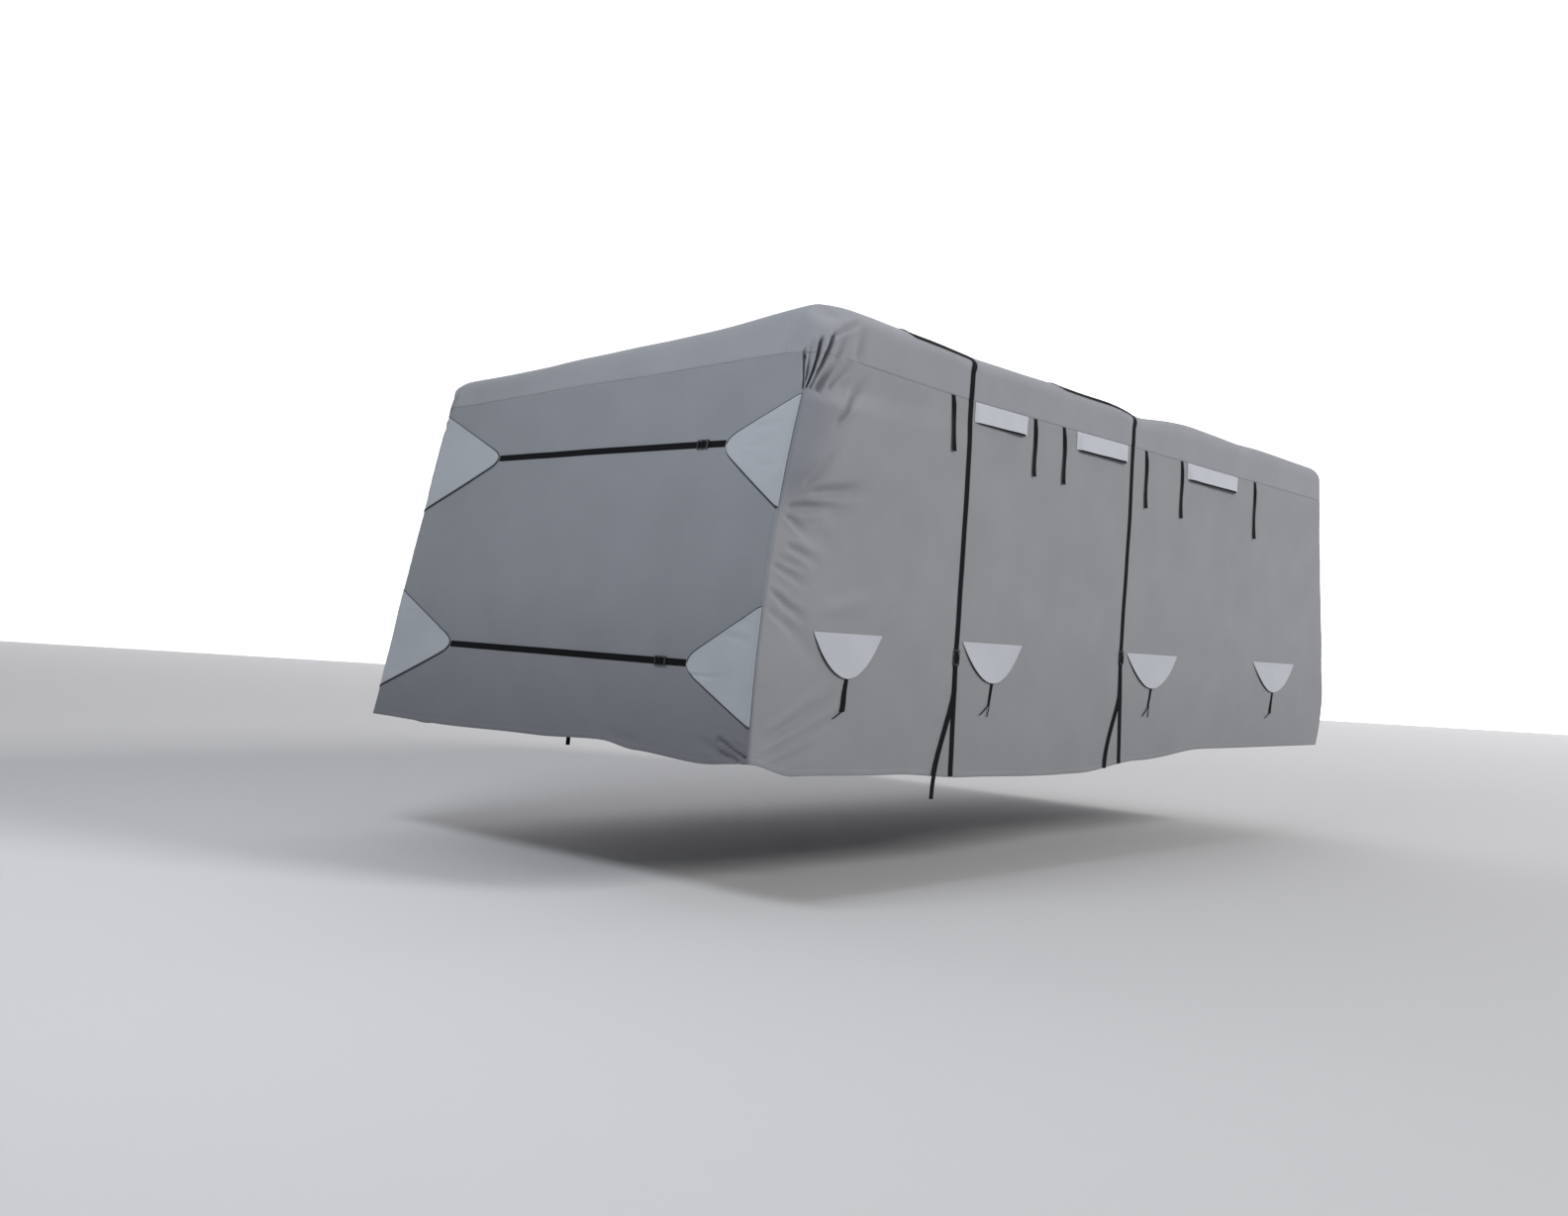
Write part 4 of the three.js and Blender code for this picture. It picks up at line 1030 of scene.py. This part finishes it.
def make_camera():
    turn, rise, roll = (math.radians(CAMERA[k]) for k in ("azimuth", "elevation", "roll"))
    level = math.cos(rise)
    back = Vector((math.sin(turn) * level, -math.cos(turn) * level, math.sin(rise)))
    right = Vector((math.cos(turn), math.sin(turn), 0))
    up = back.cross(right)
    across = math.cos(roll) * right + math.sin(roll) * up
    above = math.cos(roll) * up - math.sin(roll) * right
    data = bpy.data.cameras.new("Camera")
    data.lens = CAMERA["lens"]
    data.sensor_width = SENSOR
    data.shift_x = CAMERA["shift"]
    data.clip_end = FAR
    made = linked("Camera", data)
    turned = Matrix((across, above, back)).transposed()
    made.matrix_world = Matrix.Translation(lowered(CAMERA["place"])) @ turned.to_4x4()
    bpy.context.scene.camera = made


def make_light(name, place, target, size, power, colour):
    data = bpy.data.lights.new(name, "AREA")
    data.shape = "RECTANGLE"
    data.size, data.size_y = size
    data.energy = power
    data.color = colour
    made = linked(name, data)
    made.location = lowered(place)
    made.rotation_mode = "QUATERNION"
    aim = Vector(lowered(target)) - made.location
    made.rotation_quaternion = aim.to_track_quat("-Z", "Y")


def make_plane(name, corners, colour, glow=0.0):
    made = mesh_object(name, lowered(corners).tolist(), [(0, 1, 2, 3)])
    paint = bpy.data.materials.new(name)
    paint.use_nodes = True
    shader = paint.node_tree.nodes["Principled BSDF"].inputs
    shader["Base Color"].default_value = (*colour, 1)
    shader["Roughness"].default_value = STAGE_ROUGHNESS
    shader["Emission Color"].default_value = (*colour, 1)
    shader["Emission Strength"].default_value = glow
    made.data.materials.append(paint)


def make_stage():
    z, far = -FLOOR_DROP, FLOOR["reach"]
    floor = [(-far, -far, z), (far, -far, z), (far, far, z), (-far, far, z)]
    make_plane("Floor", floor, FLOOR["colour"])
    start, end, high = BACKDROP["start"], BACKDROP["end"], BACKDROP["high"]
    backdrop = [(*start, z), (*end, z), (*end, high), (*start, high)]
    make_plane("Backdrop", backdrop, BACKDROP["colour"], BACKDROP["glow"])
    world = bpy.data.worlds.new("Studio")
    world.use_nodes = True
    sky = world.node_tree.nodes["Background"].inputs
    sky[0].default_value = WORLD["colour"]
    sky[1].default_value = WORLD["light"]
    bpy.context.scene.world = world
    for light in LIGHTS:
        make_light(**light)
    bpy.context.scene.view_settings.view_transform = "Standard"


# Laying pieces on the cloth

def panel_tree(panels):
    points, faces = [], []
    for made in panels:
        start = len(points)
        points += [v.co[:] for v in made.data.vertices]
        faces += [[start + i for i in p.vertices] for p in made.data.polygons]
    return BVHTree.FromPolygons(points, faces)


def laid(points, normals, off):
    """The points moved onto the cloth along the normals, and then off it. A point beyond the cloth
    keeps its place."""
    flat, ways = lowered(points).reshape(-1, 3), np.asarray(normals).reshape(-1, 3)
    found = np.empty_like(flat)
    for i, (point, way) in enumerate(zip(flat, ways)):
        way = Vector(way)
        hit = TREE.ray_cast(Vector(point) + way * CAST_FROM, -way, CAST_LONG)[0]
        found[i] = point if hit is None else hit
    found = found.reshape(points.shape) + (0, 0, LIFT)
    return found + normals * np.broadcast_to(np.asarray(off)[..., None], points.shape)


def side_at(side, y, z):
    """Points and normals of a side's plain wall."""
    y, z = np.broadcast_arrays(np.asarray(y, float), np.asarray(z, float))
    start, finish = (side_place(side, share, 0.0, z)[0][..., 1] for share in (0.0, 1.0))
    share = (y - start) / (finish - start)
    return surface(partial(side_place, side, share, 0.0), z)[:2]


def nose_at(x, z):
    x, z = np.broadcast_arrays(np.asarray(x, float), np.asarray(z, float))
    across = np.clip(x, -FLAT_END, FLAT_END) / FLAT_END
    turn = (x - across * FLAT_END) / CORNER_RADIUS
    return surface(partial(end_place, -1, across, turn), z)[:2]


def on_side(side, y, z, off):
    points, normals = side_at(side, y, z)
    return laid(points, normals, off), normals


def on_nose(places, off):
    points, normals = nose_at(places[..., 0], places[..., 1])
    return laid(points, normals, off), normals


def wrap_at(run, y):
    """Points and normals over the roof and down its sides, by the run out from the middle."""
    side = np.sign(run)
    flat = np.clip(run, -MIDDLE_HALF, MIDDLE_HALF)
    past = np.abs(run) - np.abs(flat)
    angle = np.clip(past / EAVE_RADIUS, 0, DOWN)
    z = eave_height(flat, y) + crown(flat / MIDDLE_HALF, y) - EAVE_RADIUS * (1 - np.cos(angle))
    z = z - np.clip(past - EAVE_ARC, 0, None)
    points = stack(flat + side * EAVE_RADIUS * np.sin(angle), y, z)
    return points, stack(side * np.sin(angle), 0 * y, np.cos(angle))


def resampled(path, step, soften=0):
    """A path of (a, b) rows at even steps along it, its bends softened over some steps."""
    path = np.asarray(path, float)
    gone = run_of(path)
    even = read_line(np.linspace(0, gone[-1], int(round(gone[-1] / step)) + 1), gone, path)
    if soften:
        before = 2 * even[0] - even[soften:0:-1]
        after = 2 * even[-1] - even[-2:-soften - 2:-1]
        padded = np.concatenate([before, even, after])
        window = np.hanning(2 * soften + 3)[1:-1]
        window /= window.sum()
        even = np.stack([np.convolve(values, window, "valid") for values in padded.T], 1)
    return even


def ribbon_places(path, width):
    """Flat places across a path of (a, b) rows, and each place's (along, across) on the ribbon."""
    over = np.linspace(-0.5, 0.5, RIBBON_COLUMNS) * width
    places = path[:, None] + beside(path)[:, None] * over[None, :, None]
    return places, stack(run_of(path)[:, None], over[None])


def side_strip(side, y, z, width):
    """Points, normals and flat places of a strip down a side, along places y and heights z."""
    over = np.linspace(-0.5, 0.5, RIBBON_COLUMNS) * np.reshape(width, (-1, 1))
    points, normals = side_at(side, y[:, None] + over, z[:, None] + 0 * over)
    return points, normals, stack(run_of(stack(y, z))[:, None], over)


def side_name(side):
    return "right" if side > 0 else "left"


# Stitches: long diamonds of thread, half sunk in the cloth, in even rows beside the seams

def sew(finish, points, normals):
    """Adds a row of stitches of a finish along a line of points on the cloth."""
    gone = run_of(points)
    at = np.arange(STITCH["pitch"] / 2, gone[-1], STITCH["pitch"])
    lines = (points, np.gradient(points, axis=0), normals)
    middle, along, out = (read_line(at, gone, line) for line in lines)
    along = unit(along)
    rows = []
    for way, size in ((along, "long"), (unit(np.cross(out, along)), "wide"), (unit(out), "high")):
        rows += [middle - way * STITCH[size] / 2, middle + way * STITCH[size] / 2]
    THREADS[finish].append(np.stack(rows, 1))


def stitches(finish):
    """All stitches of a finish as one mesh."""
    corners = np.concatenate(THREADS[finish])
    starts = corners.shape[1] * np.arange(len(corners))
    faces = (np.array(STITCH_FACES)[None] + starts[:, None, None]).reshape(-1, 3)
    points = lowered(corners).reshape(-1, 3)
    dress(mesh_object(finish + "_stitches", points.tolist(), faces.tolist()), finish)


def sew_wall(finish, place, z):
    """A row of stitches along the heights z of a wall."""
    points, normals, _ = surface(place, z)
    sew(finish, laid(points, normals, 0.0), normals)


def sew_seams():
    """The rows over the roof's seam and beside the four corner seams."""
    inset = STITCH["inset"]
    heights = np.arange(*SEWN["heights"], SEWN["step"])
    for side in (1, -1):
        y = np.arange(SEAM_SHOWN + SEWN["starts"][side], LENGTH / 2 - SEWN["short"], SEWN["step"])
        sew("roof", *on_side(side, y, seam_height(side * HALF, y) + inset, 0.0))
        for end in (-1, 1):
            turn = end * (DOWN / 2 - inset / CORNER_RADIUS)
            sew_wall("side", partial(side_place, side, (end + 1) / 2, turn), heights)
    for end in (-1, 1):
        across = np.linspace(*SEWN["across"][end], SEWN["end_spots"])
        foot, _ = end_place(end, across, 0.0, SEAM_HEIGHT)
        z = seam_height(foot[:, 0], foot[:, 1]) + inset
        sew_wall("roof", partial(end_place, end, across, 0.0), z)


# Buckles: a frame with two windows and a bar between them

def buckle(name, size, place, across, along, out):
    """A ladder buckle on the cloth at a place, long in one way and facing out."""
    half_long, half_wide = size["long"] / 2, size["wide"] / 2
    bar, rail = BUCKLE["bar"], size["rail"]
    ys = [-half_long, -half_long + bar, -bar / 2, bar / 2, half_long - bar, half_long]
    xs = [-half_wide, -half_wide + rail, half_wide - rail, half_wide]
    build = bmesh.new()
    corners = [[build.verts.new((x, y, BUCKLE["low"])) for x in xs] for y in ys]
    faces = []
    for r in range(5):
        for c in range(3):
            if c == 1 and r in (1, 3):
                continue
            ring = [corners[r][c], corners[r][c + 1], corners[r + 1][c + 1], corners[r + 1][c]]
            faces.append(build.faces.new(ring))
    raised = bmesh.ops.extrude_face_region(build, geom=faces)["geom"]
    verts = [g for g in raised if isinstance(g, bmesh.types.BMVert)]
    bmesh.ops.translate(build, vec=(0, 0, BUCKLE["high"] - BUCKLE["low"]), verts=verts)
    bmesh.ops.recalc_face_normals(build, faces=build.faces)
    turned = Matrix((across, along, out)).transposed().to_4x4()
    bmesh.ops.transform(build, matrix=turned, verts=build.verts)
    bmesh.ops.translate(build, vec=Vector(lowered(place)), verts=build.verts)
    mesh = bpy.data.meshes.new(name)
    build.to_mesh(mesh)
    build.free()
    mesh.uv_layers.new(name="Cloth")
    made = linked(name, mesh)
    rounded = made.modifiers.new("Rounding", "BEVEL")
    rounded.width = BUCKLE["round"]
    rounded.segments = 3
    rounded.limit_method = "ANGLE"
    return dress(made, "buckle", name)


# The nose's patches and straps

def nose_strap(row):
    """Two halves of webbing from patch tip to patch tip, and the buckle between them."""
    far, near = PATCHES[row["far"]]["tip"], PATCHES[row["near"]]["tip"]
    slope = (near[1] - far[1]) / (near[0] - far[0])
    middle, bump = row["buckle"], NOSE_BUCKLE["bump"]
    stop, start = (middle + NOSE_BUCKLE["long"] * share for share in NOSE_BUCKLE["into"])
    halves = dict(long=(far[0] + STRAP_SHORT, stop), short=(start, near[0] - STRAP_SHORT))
    for part, ends in halves.items():
        path = resampled([(x, far[1] + slope * (x - far[0])) for x in ends], RIBBON_STEP)
        places, flat = ribbon_places(path, NOSE_STRAP_WIDTH)
        from_bar = np.abs(places[..., 0] - middle) * math.hypot(1, slope)
        off = STRAP_OFF + (OVER_BAR - STRAP_OFF) * bell(from_bar, bump) * (part == "long")
        points, normals = on_nose(places, off)
        name = f"nose_strap_{row['name']}_{part}"
        strip(name + "_cloth", points[:, ::-1], normals[:, ::-1], flat, "webbing", name)
    point, normal = nose_at(middle, far[1] + slope * (middle - far[0]))
    out = Vector(normal)
    along = Vector((1, 0, slope))
    along = (along - out * along.dot(out)).normalized()
    name = f"nose_buckle_{row['name']}"
    buckle(name, NOSE_BUCKLE, laid(point, normal, 0.0), along.cross(out), along, out)


def patch_grid(patch):
    """A nose patch as a grid from its base to its rounded tip, between its two edges."""
    base = patch["side"] * (HALF - PATCH["inset"])
    tip = np.array(patch["tip"]) - (patch["side"] * PATCH["beyond"], 0)
    ends = [np.array([base, patch[key]]) for key in ("top", "foot")]
    backs = [tip + (end - tip) * PATCH["round"] / np.linalg.norm(end - tip) for end in ends]
    straight = np.linspace(0, 1, PATCH["straight_rows"])[:-1, None]
    curve = np.linspace(0, 0.5, PATCH["tip_rows"])[:, None]
    lines = []
    for end, back, other in zip(ends, backs, backs[::-1]):
        bent = (1 - curve) ** 2 * back + 2 * curve * (1 - curve) * tip + curve**2 * other
        lines.append(np.concatenate([mix(end, back, straight), bent]))
    share = np.linspace(0, 1, PATCH["columns"])[None, :, None]
    return mix(lines[0][:, None], lines[1][:, None], share)


def patch_edge_shadow(name, places):
    """A narrow dark band of painted shadow along the two free edges of a nose patch, heavier below.
    """
    line = resampled(np.concatenate([places[:, 0], places[-2::-1, -1]]), RIBBON_STEP)
    gone = np.linspace(0, 1, len(line))[:, None]
    # Painted shadow: the band is wider along the lower edge, where the shadow falls
    wide = mix(EDGE_SHADOW["upper"], EDGE_SHADOW["lower"], smooth(2 * gone - 0.5))
    away = beside(line)
    away *= np.sign(((line - places.reshape(-1, 2).mean(0)) * away).sum(1))[:, None]
    over = np.linspace(-EDGE_SHADOW["under"], 1, 6)[None]
    spots = line[:, None] + away[:, None] * (over * wide)[..., None]
    half = (1 + EDGE_SHADOW["under"]) / 2
    dome = np.sqrt(np.clip(1 - ((over - 1) / half + 1) ** 2, 0, 1)) + 0 * wide
    points, normals = on_nose(spots, EDGE_SHADOW["off"] + EDGE_SHADOW["high"] * dome)
    return dark_band(name + "_shadow_edge", points, normals, stack(gone, over * wide), "painted_shadow",
                EDGE_SHADOW["thick"])


def nose_patch(patch):
    name, places = patch["name"], patch_grid(patch)
    share = np.linspace(0, 1, places.shape[1])[None]
    from_base = np.abs(places[..., 0] - patch["side"] * HALF)
    off = PATCH["off"] + PATCH["lower"] * share**2 * smooth(from_base / PATCH["reach"])
    points, normals = on_nose(places, off)
    made = strip(name + "_cloth", points, normals, places, "patch", name, thickness=SHEET)
    edge_shade = patch_edge_shadow(name, places)
    across = places[:, -1] - places[:, 0]
    wide = np.linalg.norm(across, axis=1, keepdims=True)
    kept = wide[:, 0] > SEWN["least"]
    inset = (across / np.maximum(wide, 0.01) * STITCH["inset"])[kept]
    for edge, way in ((0, 1), (-1, -1)):
        sew("patch", *on_nose(places[kept, edge] + way * inset, off[kept, edge]))
    area_of(points)


# The straps over the top, with what is below them

def buckle_foot(row):
    return row["buckle"] - SIDE_BUCKLE["long"] / 2 - SIDE_BUCKLE["clear"]


def strap_line(row):
    """The strap's path from buckle to buckle, as (run out from the roof's middle, y)."""
    wings = []
    for side in (-1, 1):
        edge = float(eave_height(side * MIDDLE_HALF, row["foot"]))
        down = EAVE_ARC + edge - EAVE_RADIUS - buckle_foot(row)
        wing = [(side * (MIDDLE_HALF + down), row["foot"])]
        for outwards, forward, share in STRAP_SLIP:
            run = side * (MIDDLE_HALF + outwards * EAVE_ARC)
            wing.append((run, row["eave"] - forward - share * row["drawn"]))
        wings.append(wing)
    middle = [(x, row["eave"] - share * row["drawn"]) for x, share in STRAP_BOW]
    return resampled(wings[0] + middle + wings[1][::-1], **ROOF_STRAP_PATH)


def roof_strap(row):
    name = f"roof_strap_{row['name']}"
    places, flat = ribbon_places(strap_line(row), ROOF_STRAP_WIDTH)
    points, normals = wrap_at(places[..., 0], places[..., 1])
    from_bar = points[..., 2] - row["buckle"]
    over = (OVER_BAR - LAID) * bell(from_bar, SIDE_BUCKLE["bump"])
    lifted = (BUCKLE["low"] - STRAP_OFF) * smooth(-from_bar / SIDE_BUCKLE["under"])
    off = STRAP_OFF + over + lifted * (np.abs(points[..., 0]) > MIDDLE_HALF)
    turned_out = (np.abs(places[..., 0]) - MIDDLE_HALF) / EAVE_ARC
    upper = 0.5 - np.sign(places[..., 0]) * flat[..., 1] / ROOF_STRAP_WIDTH
    round_eave = bell(turned_out - STRAP_EDGE["share"], STRAP_EDGE["reach"])
    off = off + STRAP_EDGE["high"] * upper * round_eave
    strip(name + "_cloth", laid(points, normals, off), normals, flat, "webbing", name)


def side_fastening(row, side):
    """Below a roof strap: its buckle, the leg sewn to the hem and the loose tail."""
    end = f"{row['name']}_{side_name(side)}"
    share = np.linspace(0, 1, LEG_ROWS)
    top = row["buckle"] - SIDE_BUCKLE["long"] * SIDE_BUCKLE["into"]
    hem = HEM_CLEAR - float(ease(SIDE_HEM, row["sewn"]))
    y, z = mix(row["foot"], row["sewn"], share), mix(top, hem, share)
    points, normals, flat = side_strip(side, y, z, ROOF_STRAP_WIDTH)
    points = laid(points, normals, LAID)
    strip(f"leg_{end}_cloth", points, normals, flat, "webbing", f"leg_{end}")
    point, _ = on_side(side, row["foot"], row["buckle"], 0.0)
    ways = (0, side, 0), (0, 0, 1), (side, 0, 0)
    buckle(f"buckle_{end}", SIDE_BUCKLE, point, *ways)
    hanging_tail(row, side, f"tail_{end}")


def hanging_tail(row, side, name):
    """The loose end of a strap. It bridges the hollows of the cloth behind it."""
    above, below = TAIL["rows"]
    share = np.linspace(0, 1, below)
    down = np.linspace(buckle_foot(row), TAIL["split"], above)[:-1]
    aside = (row["free"][0] - row["foot"]) * np.sin(share * DOWN) ** TAIL["swing"]
    y = row["foot"] + np.concatenate([0 * down, aside])
    z = np.concatenate([down, mix(TAIL["split"], row["free"][1], share)])
    points, normals, flat = side_strip(side, y, z, TAIL["wide"])
    over = np.linspace(-1, 1, RIBBON_COLUMNS)[None]
    along = np.linspace(0, 1, len(y))[:, None]
    curl = TAIL["curl"] * over**2 * np.sin(TAIL["waves"] * along)
    points = laid(points, normals, STRAP_OFF + LAID + curl + TAIL["off"] * along)
    points[..., 0] = side * np.maximum.accumulate(side * points[..., 0], axis=0)
    declare_strip(name, points, normals, flat, TAIL["wide"], name)


def declare_strip(name, points, normals, flat, width, *nodes):
    """A free strip of webbing, cut off bare at its end."""
    made = strip(name + "_cloth", points, normals, flat, "webbing", *nodes)
    line = lowered(points[:, points.shape[1] // 2] - normals[:, 0] * WEBBING / 2)
    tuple(line[0])
    float(run_of(line)[-1])


# The sides' hoods, pull patches, ties and strings

def vent_hood(index, vent, side):
    name = f"vent_{index}_{side_name(side)}"
    seam = float(seam_height(side * HALF, (vent["start"] + vent["end"]) / 2)) - GAP
    along = np.linspace(0, 1, VENT["columns"])[None]
    down = VENT_ROWS[:, None]
    long = vent["end"] - vent["start"]
    ends = np.minimum(along, 1 - along) * long
    mouth = smooth(ends / VENT["ends"]) * mix(*vent["mouth"], along)
    waves = (h * np.sin(pace * along + shift * index) for h, pace, shift in VENT["uneven"])
    belly = VENT["deep"] * mouth * (1 + sum(waves)) * down ** VENT["belly"]
    y = mix(vent["start"], vent["end"], along) + 0 * down
    z = seam - VENT["tall"] * down * (1 - VENT["drawn_up"] * mouth) + 0 * along
    points, normals = on_side(side, y, z, VENT["off"] + belly)
    made = strip(name + "_cloth", points, normals, stack(y, z), "light", name, thickness=SHEET)
    edge = vent_band_and_shadow(name, points[-1], normals[-1], mouth[0], y[0])
    sew("light", points[2, 1:-1], normals[2, 1:-1])
    f"side_panel_{side_name(side)}_cloth"


def vent_band_and_shadow(name, edge, normals, mouth, y):
    """The dark band inside the mouth of a hood, which shows below its edge: partly the hood's dark
    inner facing, partly painted shadow of the open mouth.
    """
    # Painted shadow in part: the band is taller where the mouth stands open
    tall = VENT["band"] * np.clip(mouth, VENT["shut"], 1)
    shares = np.linspace(-0.5, 1, 4)[:, None]
    points = edge - normals * (SHEET + BAND_THICK) - stack(0, 0, shares * tall)
    return dark_band(name + "_band", points, normals, stack(y[None], shares * tall))


def pull_off(down, across):
    """How far a pull patch stands off, by its share down and its share across from the middle."""
    mean, swing = PULL["uneven"]
    lift = down ** PULL["belly"] * (1 - across**4) * (mean - swing * np.sin(across * 2))
    return PULL["off"] + PULL["lift"] * lift


def pull_height(down, across):
    return mix(PULL["top"], mix(PULL["foot"], PULL["top"], across**2), down)


def pull_patch(index, pull, side):
    name = f"pull_{index}_{side_name(side)}"
    middle, half = (pull["start"] + pull["end"]) / 2, (pull["end"] - pull["start"]) / 2
    across = np.sin(np.linspace(-1, 1, PULL["columns"]) * DOWN)[None]
    down = np.linspace(0, 1, PULL["rows"])[:, None]
    y, z = middle + half * across + 0 * down, pull_height(down, across)
    off = pull_off(down, across)
    points, normals = on_side(side, y, z, off)
    made = strip(name + "_cloth", points, normals, stack(y, z), "pull", name, thickness=SHEET)
    dark_band = pull_gap_shadow(name, side, points[-1], normals[-1], off[-1], y[-1])
    inner = SEWN["pull"]
    row = np.linspace(-SEWN["pull_ends"], SEWN["pull_ends"], SEWN["pull_spots"])
    down = inner * (1 - (row / inner) ** 2) / (1 - row**2)
    spots = on_side(side, middle + half * row, pull_height(down, row), pull_off(down, row))
    sew("pull", *spots)
    f"side_panel_{side_name(side)}_cloth"


def pull_gap_shadow(name, side, edge, normals, off, y):
    """A dark band between the curved edge of a pull patch and the cloth under it: painted shadow
    of the gap.
    """
    shares = np.linspace(0, 1, 4)[:, None]
    # Painted shadow: a dark sheet down the gap from the patch's edge to the cloth
    points = edge - normals * (SHEET * 0.5 + (off - PULL["hidden"]) * shares)[..., None]
    out = unit(np.cross(np.gradient(edge, axis=0), normals)) * -side
    return dark_band(name + "_shadow_band", points, out, stack(y[None], shares * PULL["dark_band"]))


def near_nodes(name, side):
    """The ties and strings of the right side have solids, and those of the left have none."""
    return [name] if side > 0 else []


def hanging_tie(index, tie, side):
    name = f"tie_{index}"
    top = float(seam_height(side * HALF, tie["y"])) - GAP
    phase = np.random.default_rng(TIE["seed"] + index).uniform(-TIE["phase"], TIE["phase"])
    share = np.linspace(0, 1, TIE["rows"])
    bow = TIE["bow"] * np.sin(share * math.pi * TIE["part"])
    bow = bow + TIE["sway"] * np.sin(2 * math.pi * share + phase) * share
    (top_flare, top_reach), (foot_flare, foot_reach) = TIE["flares"]
    flare = top_flare * bell(share, top_reach) + foot_flare * bell(1 - share, foot_reach)
    width = TIE["wide"] * (1 + flare)
    points, normals, flat = side_strip(side, tie["y"] + bow, top - tie["long"] * share, width)
    share = share[:, None]
    over = np.linspace(-1, 1, RIBBON_COLUMNS)[None]
    twist = over * np.sin(TIE["twist"] * math.pi * share + phase)
    off = TIE["off"] + TIE["hang"] * share + TIE["turn"] * (1 + twist) * smooth(share * 6)
    points = laid(points, normals, off)
    full = f"{name}_{side_name(side)}"
    declare_strip(full, points, normals, flat, TIE["wide"], *near_nodes(name, side))


def pull_tie(index, pull, side):
    name = f"pull_tie_{index}"
    y, z = (pull["start"] + pull["end"]) / 2, PULL["foot"] - GAP
    share = np.linspace(0, 1, PULL["tie_rows"])
    ys, zs = y + pull["lean"] * share, z - pull["long"] * share
    points, normals, flat = side_strip(side, ys, zs, mix(*pull["wide"], share))
    points = laid(points, normals, PULL["tie_off"] + PULL["hang"] * share[:, None])
    thick = min(sum(pull["wide"]) / 2, pull["long"] / CORD_SLIM)
    full = f"{name}_{side_name(side)}"
    declare_strip(full, points, normals, flat, thick, *near_nodes(name, side))
    for letter, string in zip("ab", pull["strings"]):
        pull_string(f"pull_string_{index}{letter}", pull, string, side)


def pull_string(name, pull, string, side):
    """A free string below a pull tie: straight down at first, then out to its side."""
    lean, drop = string
    y = (pull["start"] + pull["end"]) / 2
    z = PULL["foot"] - 2 * GAP - pull["long"]
    radius = STRING["wide"] / 2
    beginning = y + pull["lean"] + (-radius if lean < pull["lean"] else radius)
    share = np.linspace(0, 1, STRING["rows"])
    ys = mix(beginning, y + pull["lean"] + lean, share ** STRING["curl"])
    zs = z + STRING["inside"] - (drop + STRING["inside"]) * share
    centre, normals = on_side(side, ys, zs, PULL["hang"] + radius + STRING["off"] + GAP)
    ring = np.linspace(0, 2 * math.pi, STRING["ring"])[None]
    along = unit(np.gradient(centre, axis=0))
    over = unit(np.cross(along, normals))
    above = np.cross(over, along)
    ways = over[:, None] * np.cos(ring)[..., None] + above[:, None] * np.sin(ring)[..., None]
    points = centre[:, None] + ways * radius
    caps = [np.repeat(centre[k][None, None], STRING["ring"], 1) for k in (0, -1)]
    points = np.concatenate([caps[0], points, caps[1]])
    ways = np.concatenate([ways[:1], ways, ways[-1:]])
    flat = stack(np.linspace(0, drop, len(points))[:, None], ring * radius)
    made = cloth_object(f"{name}_{side_name(side)}_cord", [(points, ways, flat)], 0)
    made.modifiers.clear()
    dress(made, "webbing", *near_nodes(name, side))
    line = lowered(centre)
    long = float(run_of(line)[-1])
    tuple(line[0])


# The whole cover

def panel(name, finish, *grids):
    made = dress(cloth_object(name + "_cloth", grids, SHEET), finish, name)
    sum(area_of(grid[0]) for grid in grids)
    return made


make_camera()
RIGHT = wall_grid(side_wall(1), 1, SIDE_HEM, ROW_STEP)
LEFT = wall_grid(side_wall(-1), 1, SIDE_HEM, LEFT_STEP)
NOSE = wall_grid(end_wall(-1, NOSE_STEPS), 0, NOSE_HEM, ROW_STEP)
TAIL_END = wall_grid(end_wall(1, TAIL_STEPS), 0, TAIL_HEM, TAIL_ROW_STEP)
PANELS = [
    panel("roof_panel", "roof", *roof_grids()),
    panel("side_panel_right", "side", RIGHT),
    panel("side_panel_left", "side", LEFT),
    panel("nose_panel", "nose", NOSE),
    panel("tail_panel", "side", TAIL_END),
]
TREE = panel_tree(PANELS)

for side in (1, -1):
    for i, tie in enumerate(TIES):
        hanging_tie(i + 1, tie, side)
    for i, pull in enumerate(PULLS):
        pull_tie(i + 1, pull, side)
        pull_patch(i + 1, pull, side)
    for i, vent in enumerate(VENTS):
        vent_hood(i + 1, vent, side)
for row in ROOF_STRAPS:
    roof_strap(row)
    for side in (1, -1):
        side_fastening(row, side)
for patch in PATCHES:
    nose_patch(patch)
for row in NOSE_STRAPS:
    nose_strap(row)
sew_seams()
for finish in THREADS:
    stitches(finish)

make_stage()
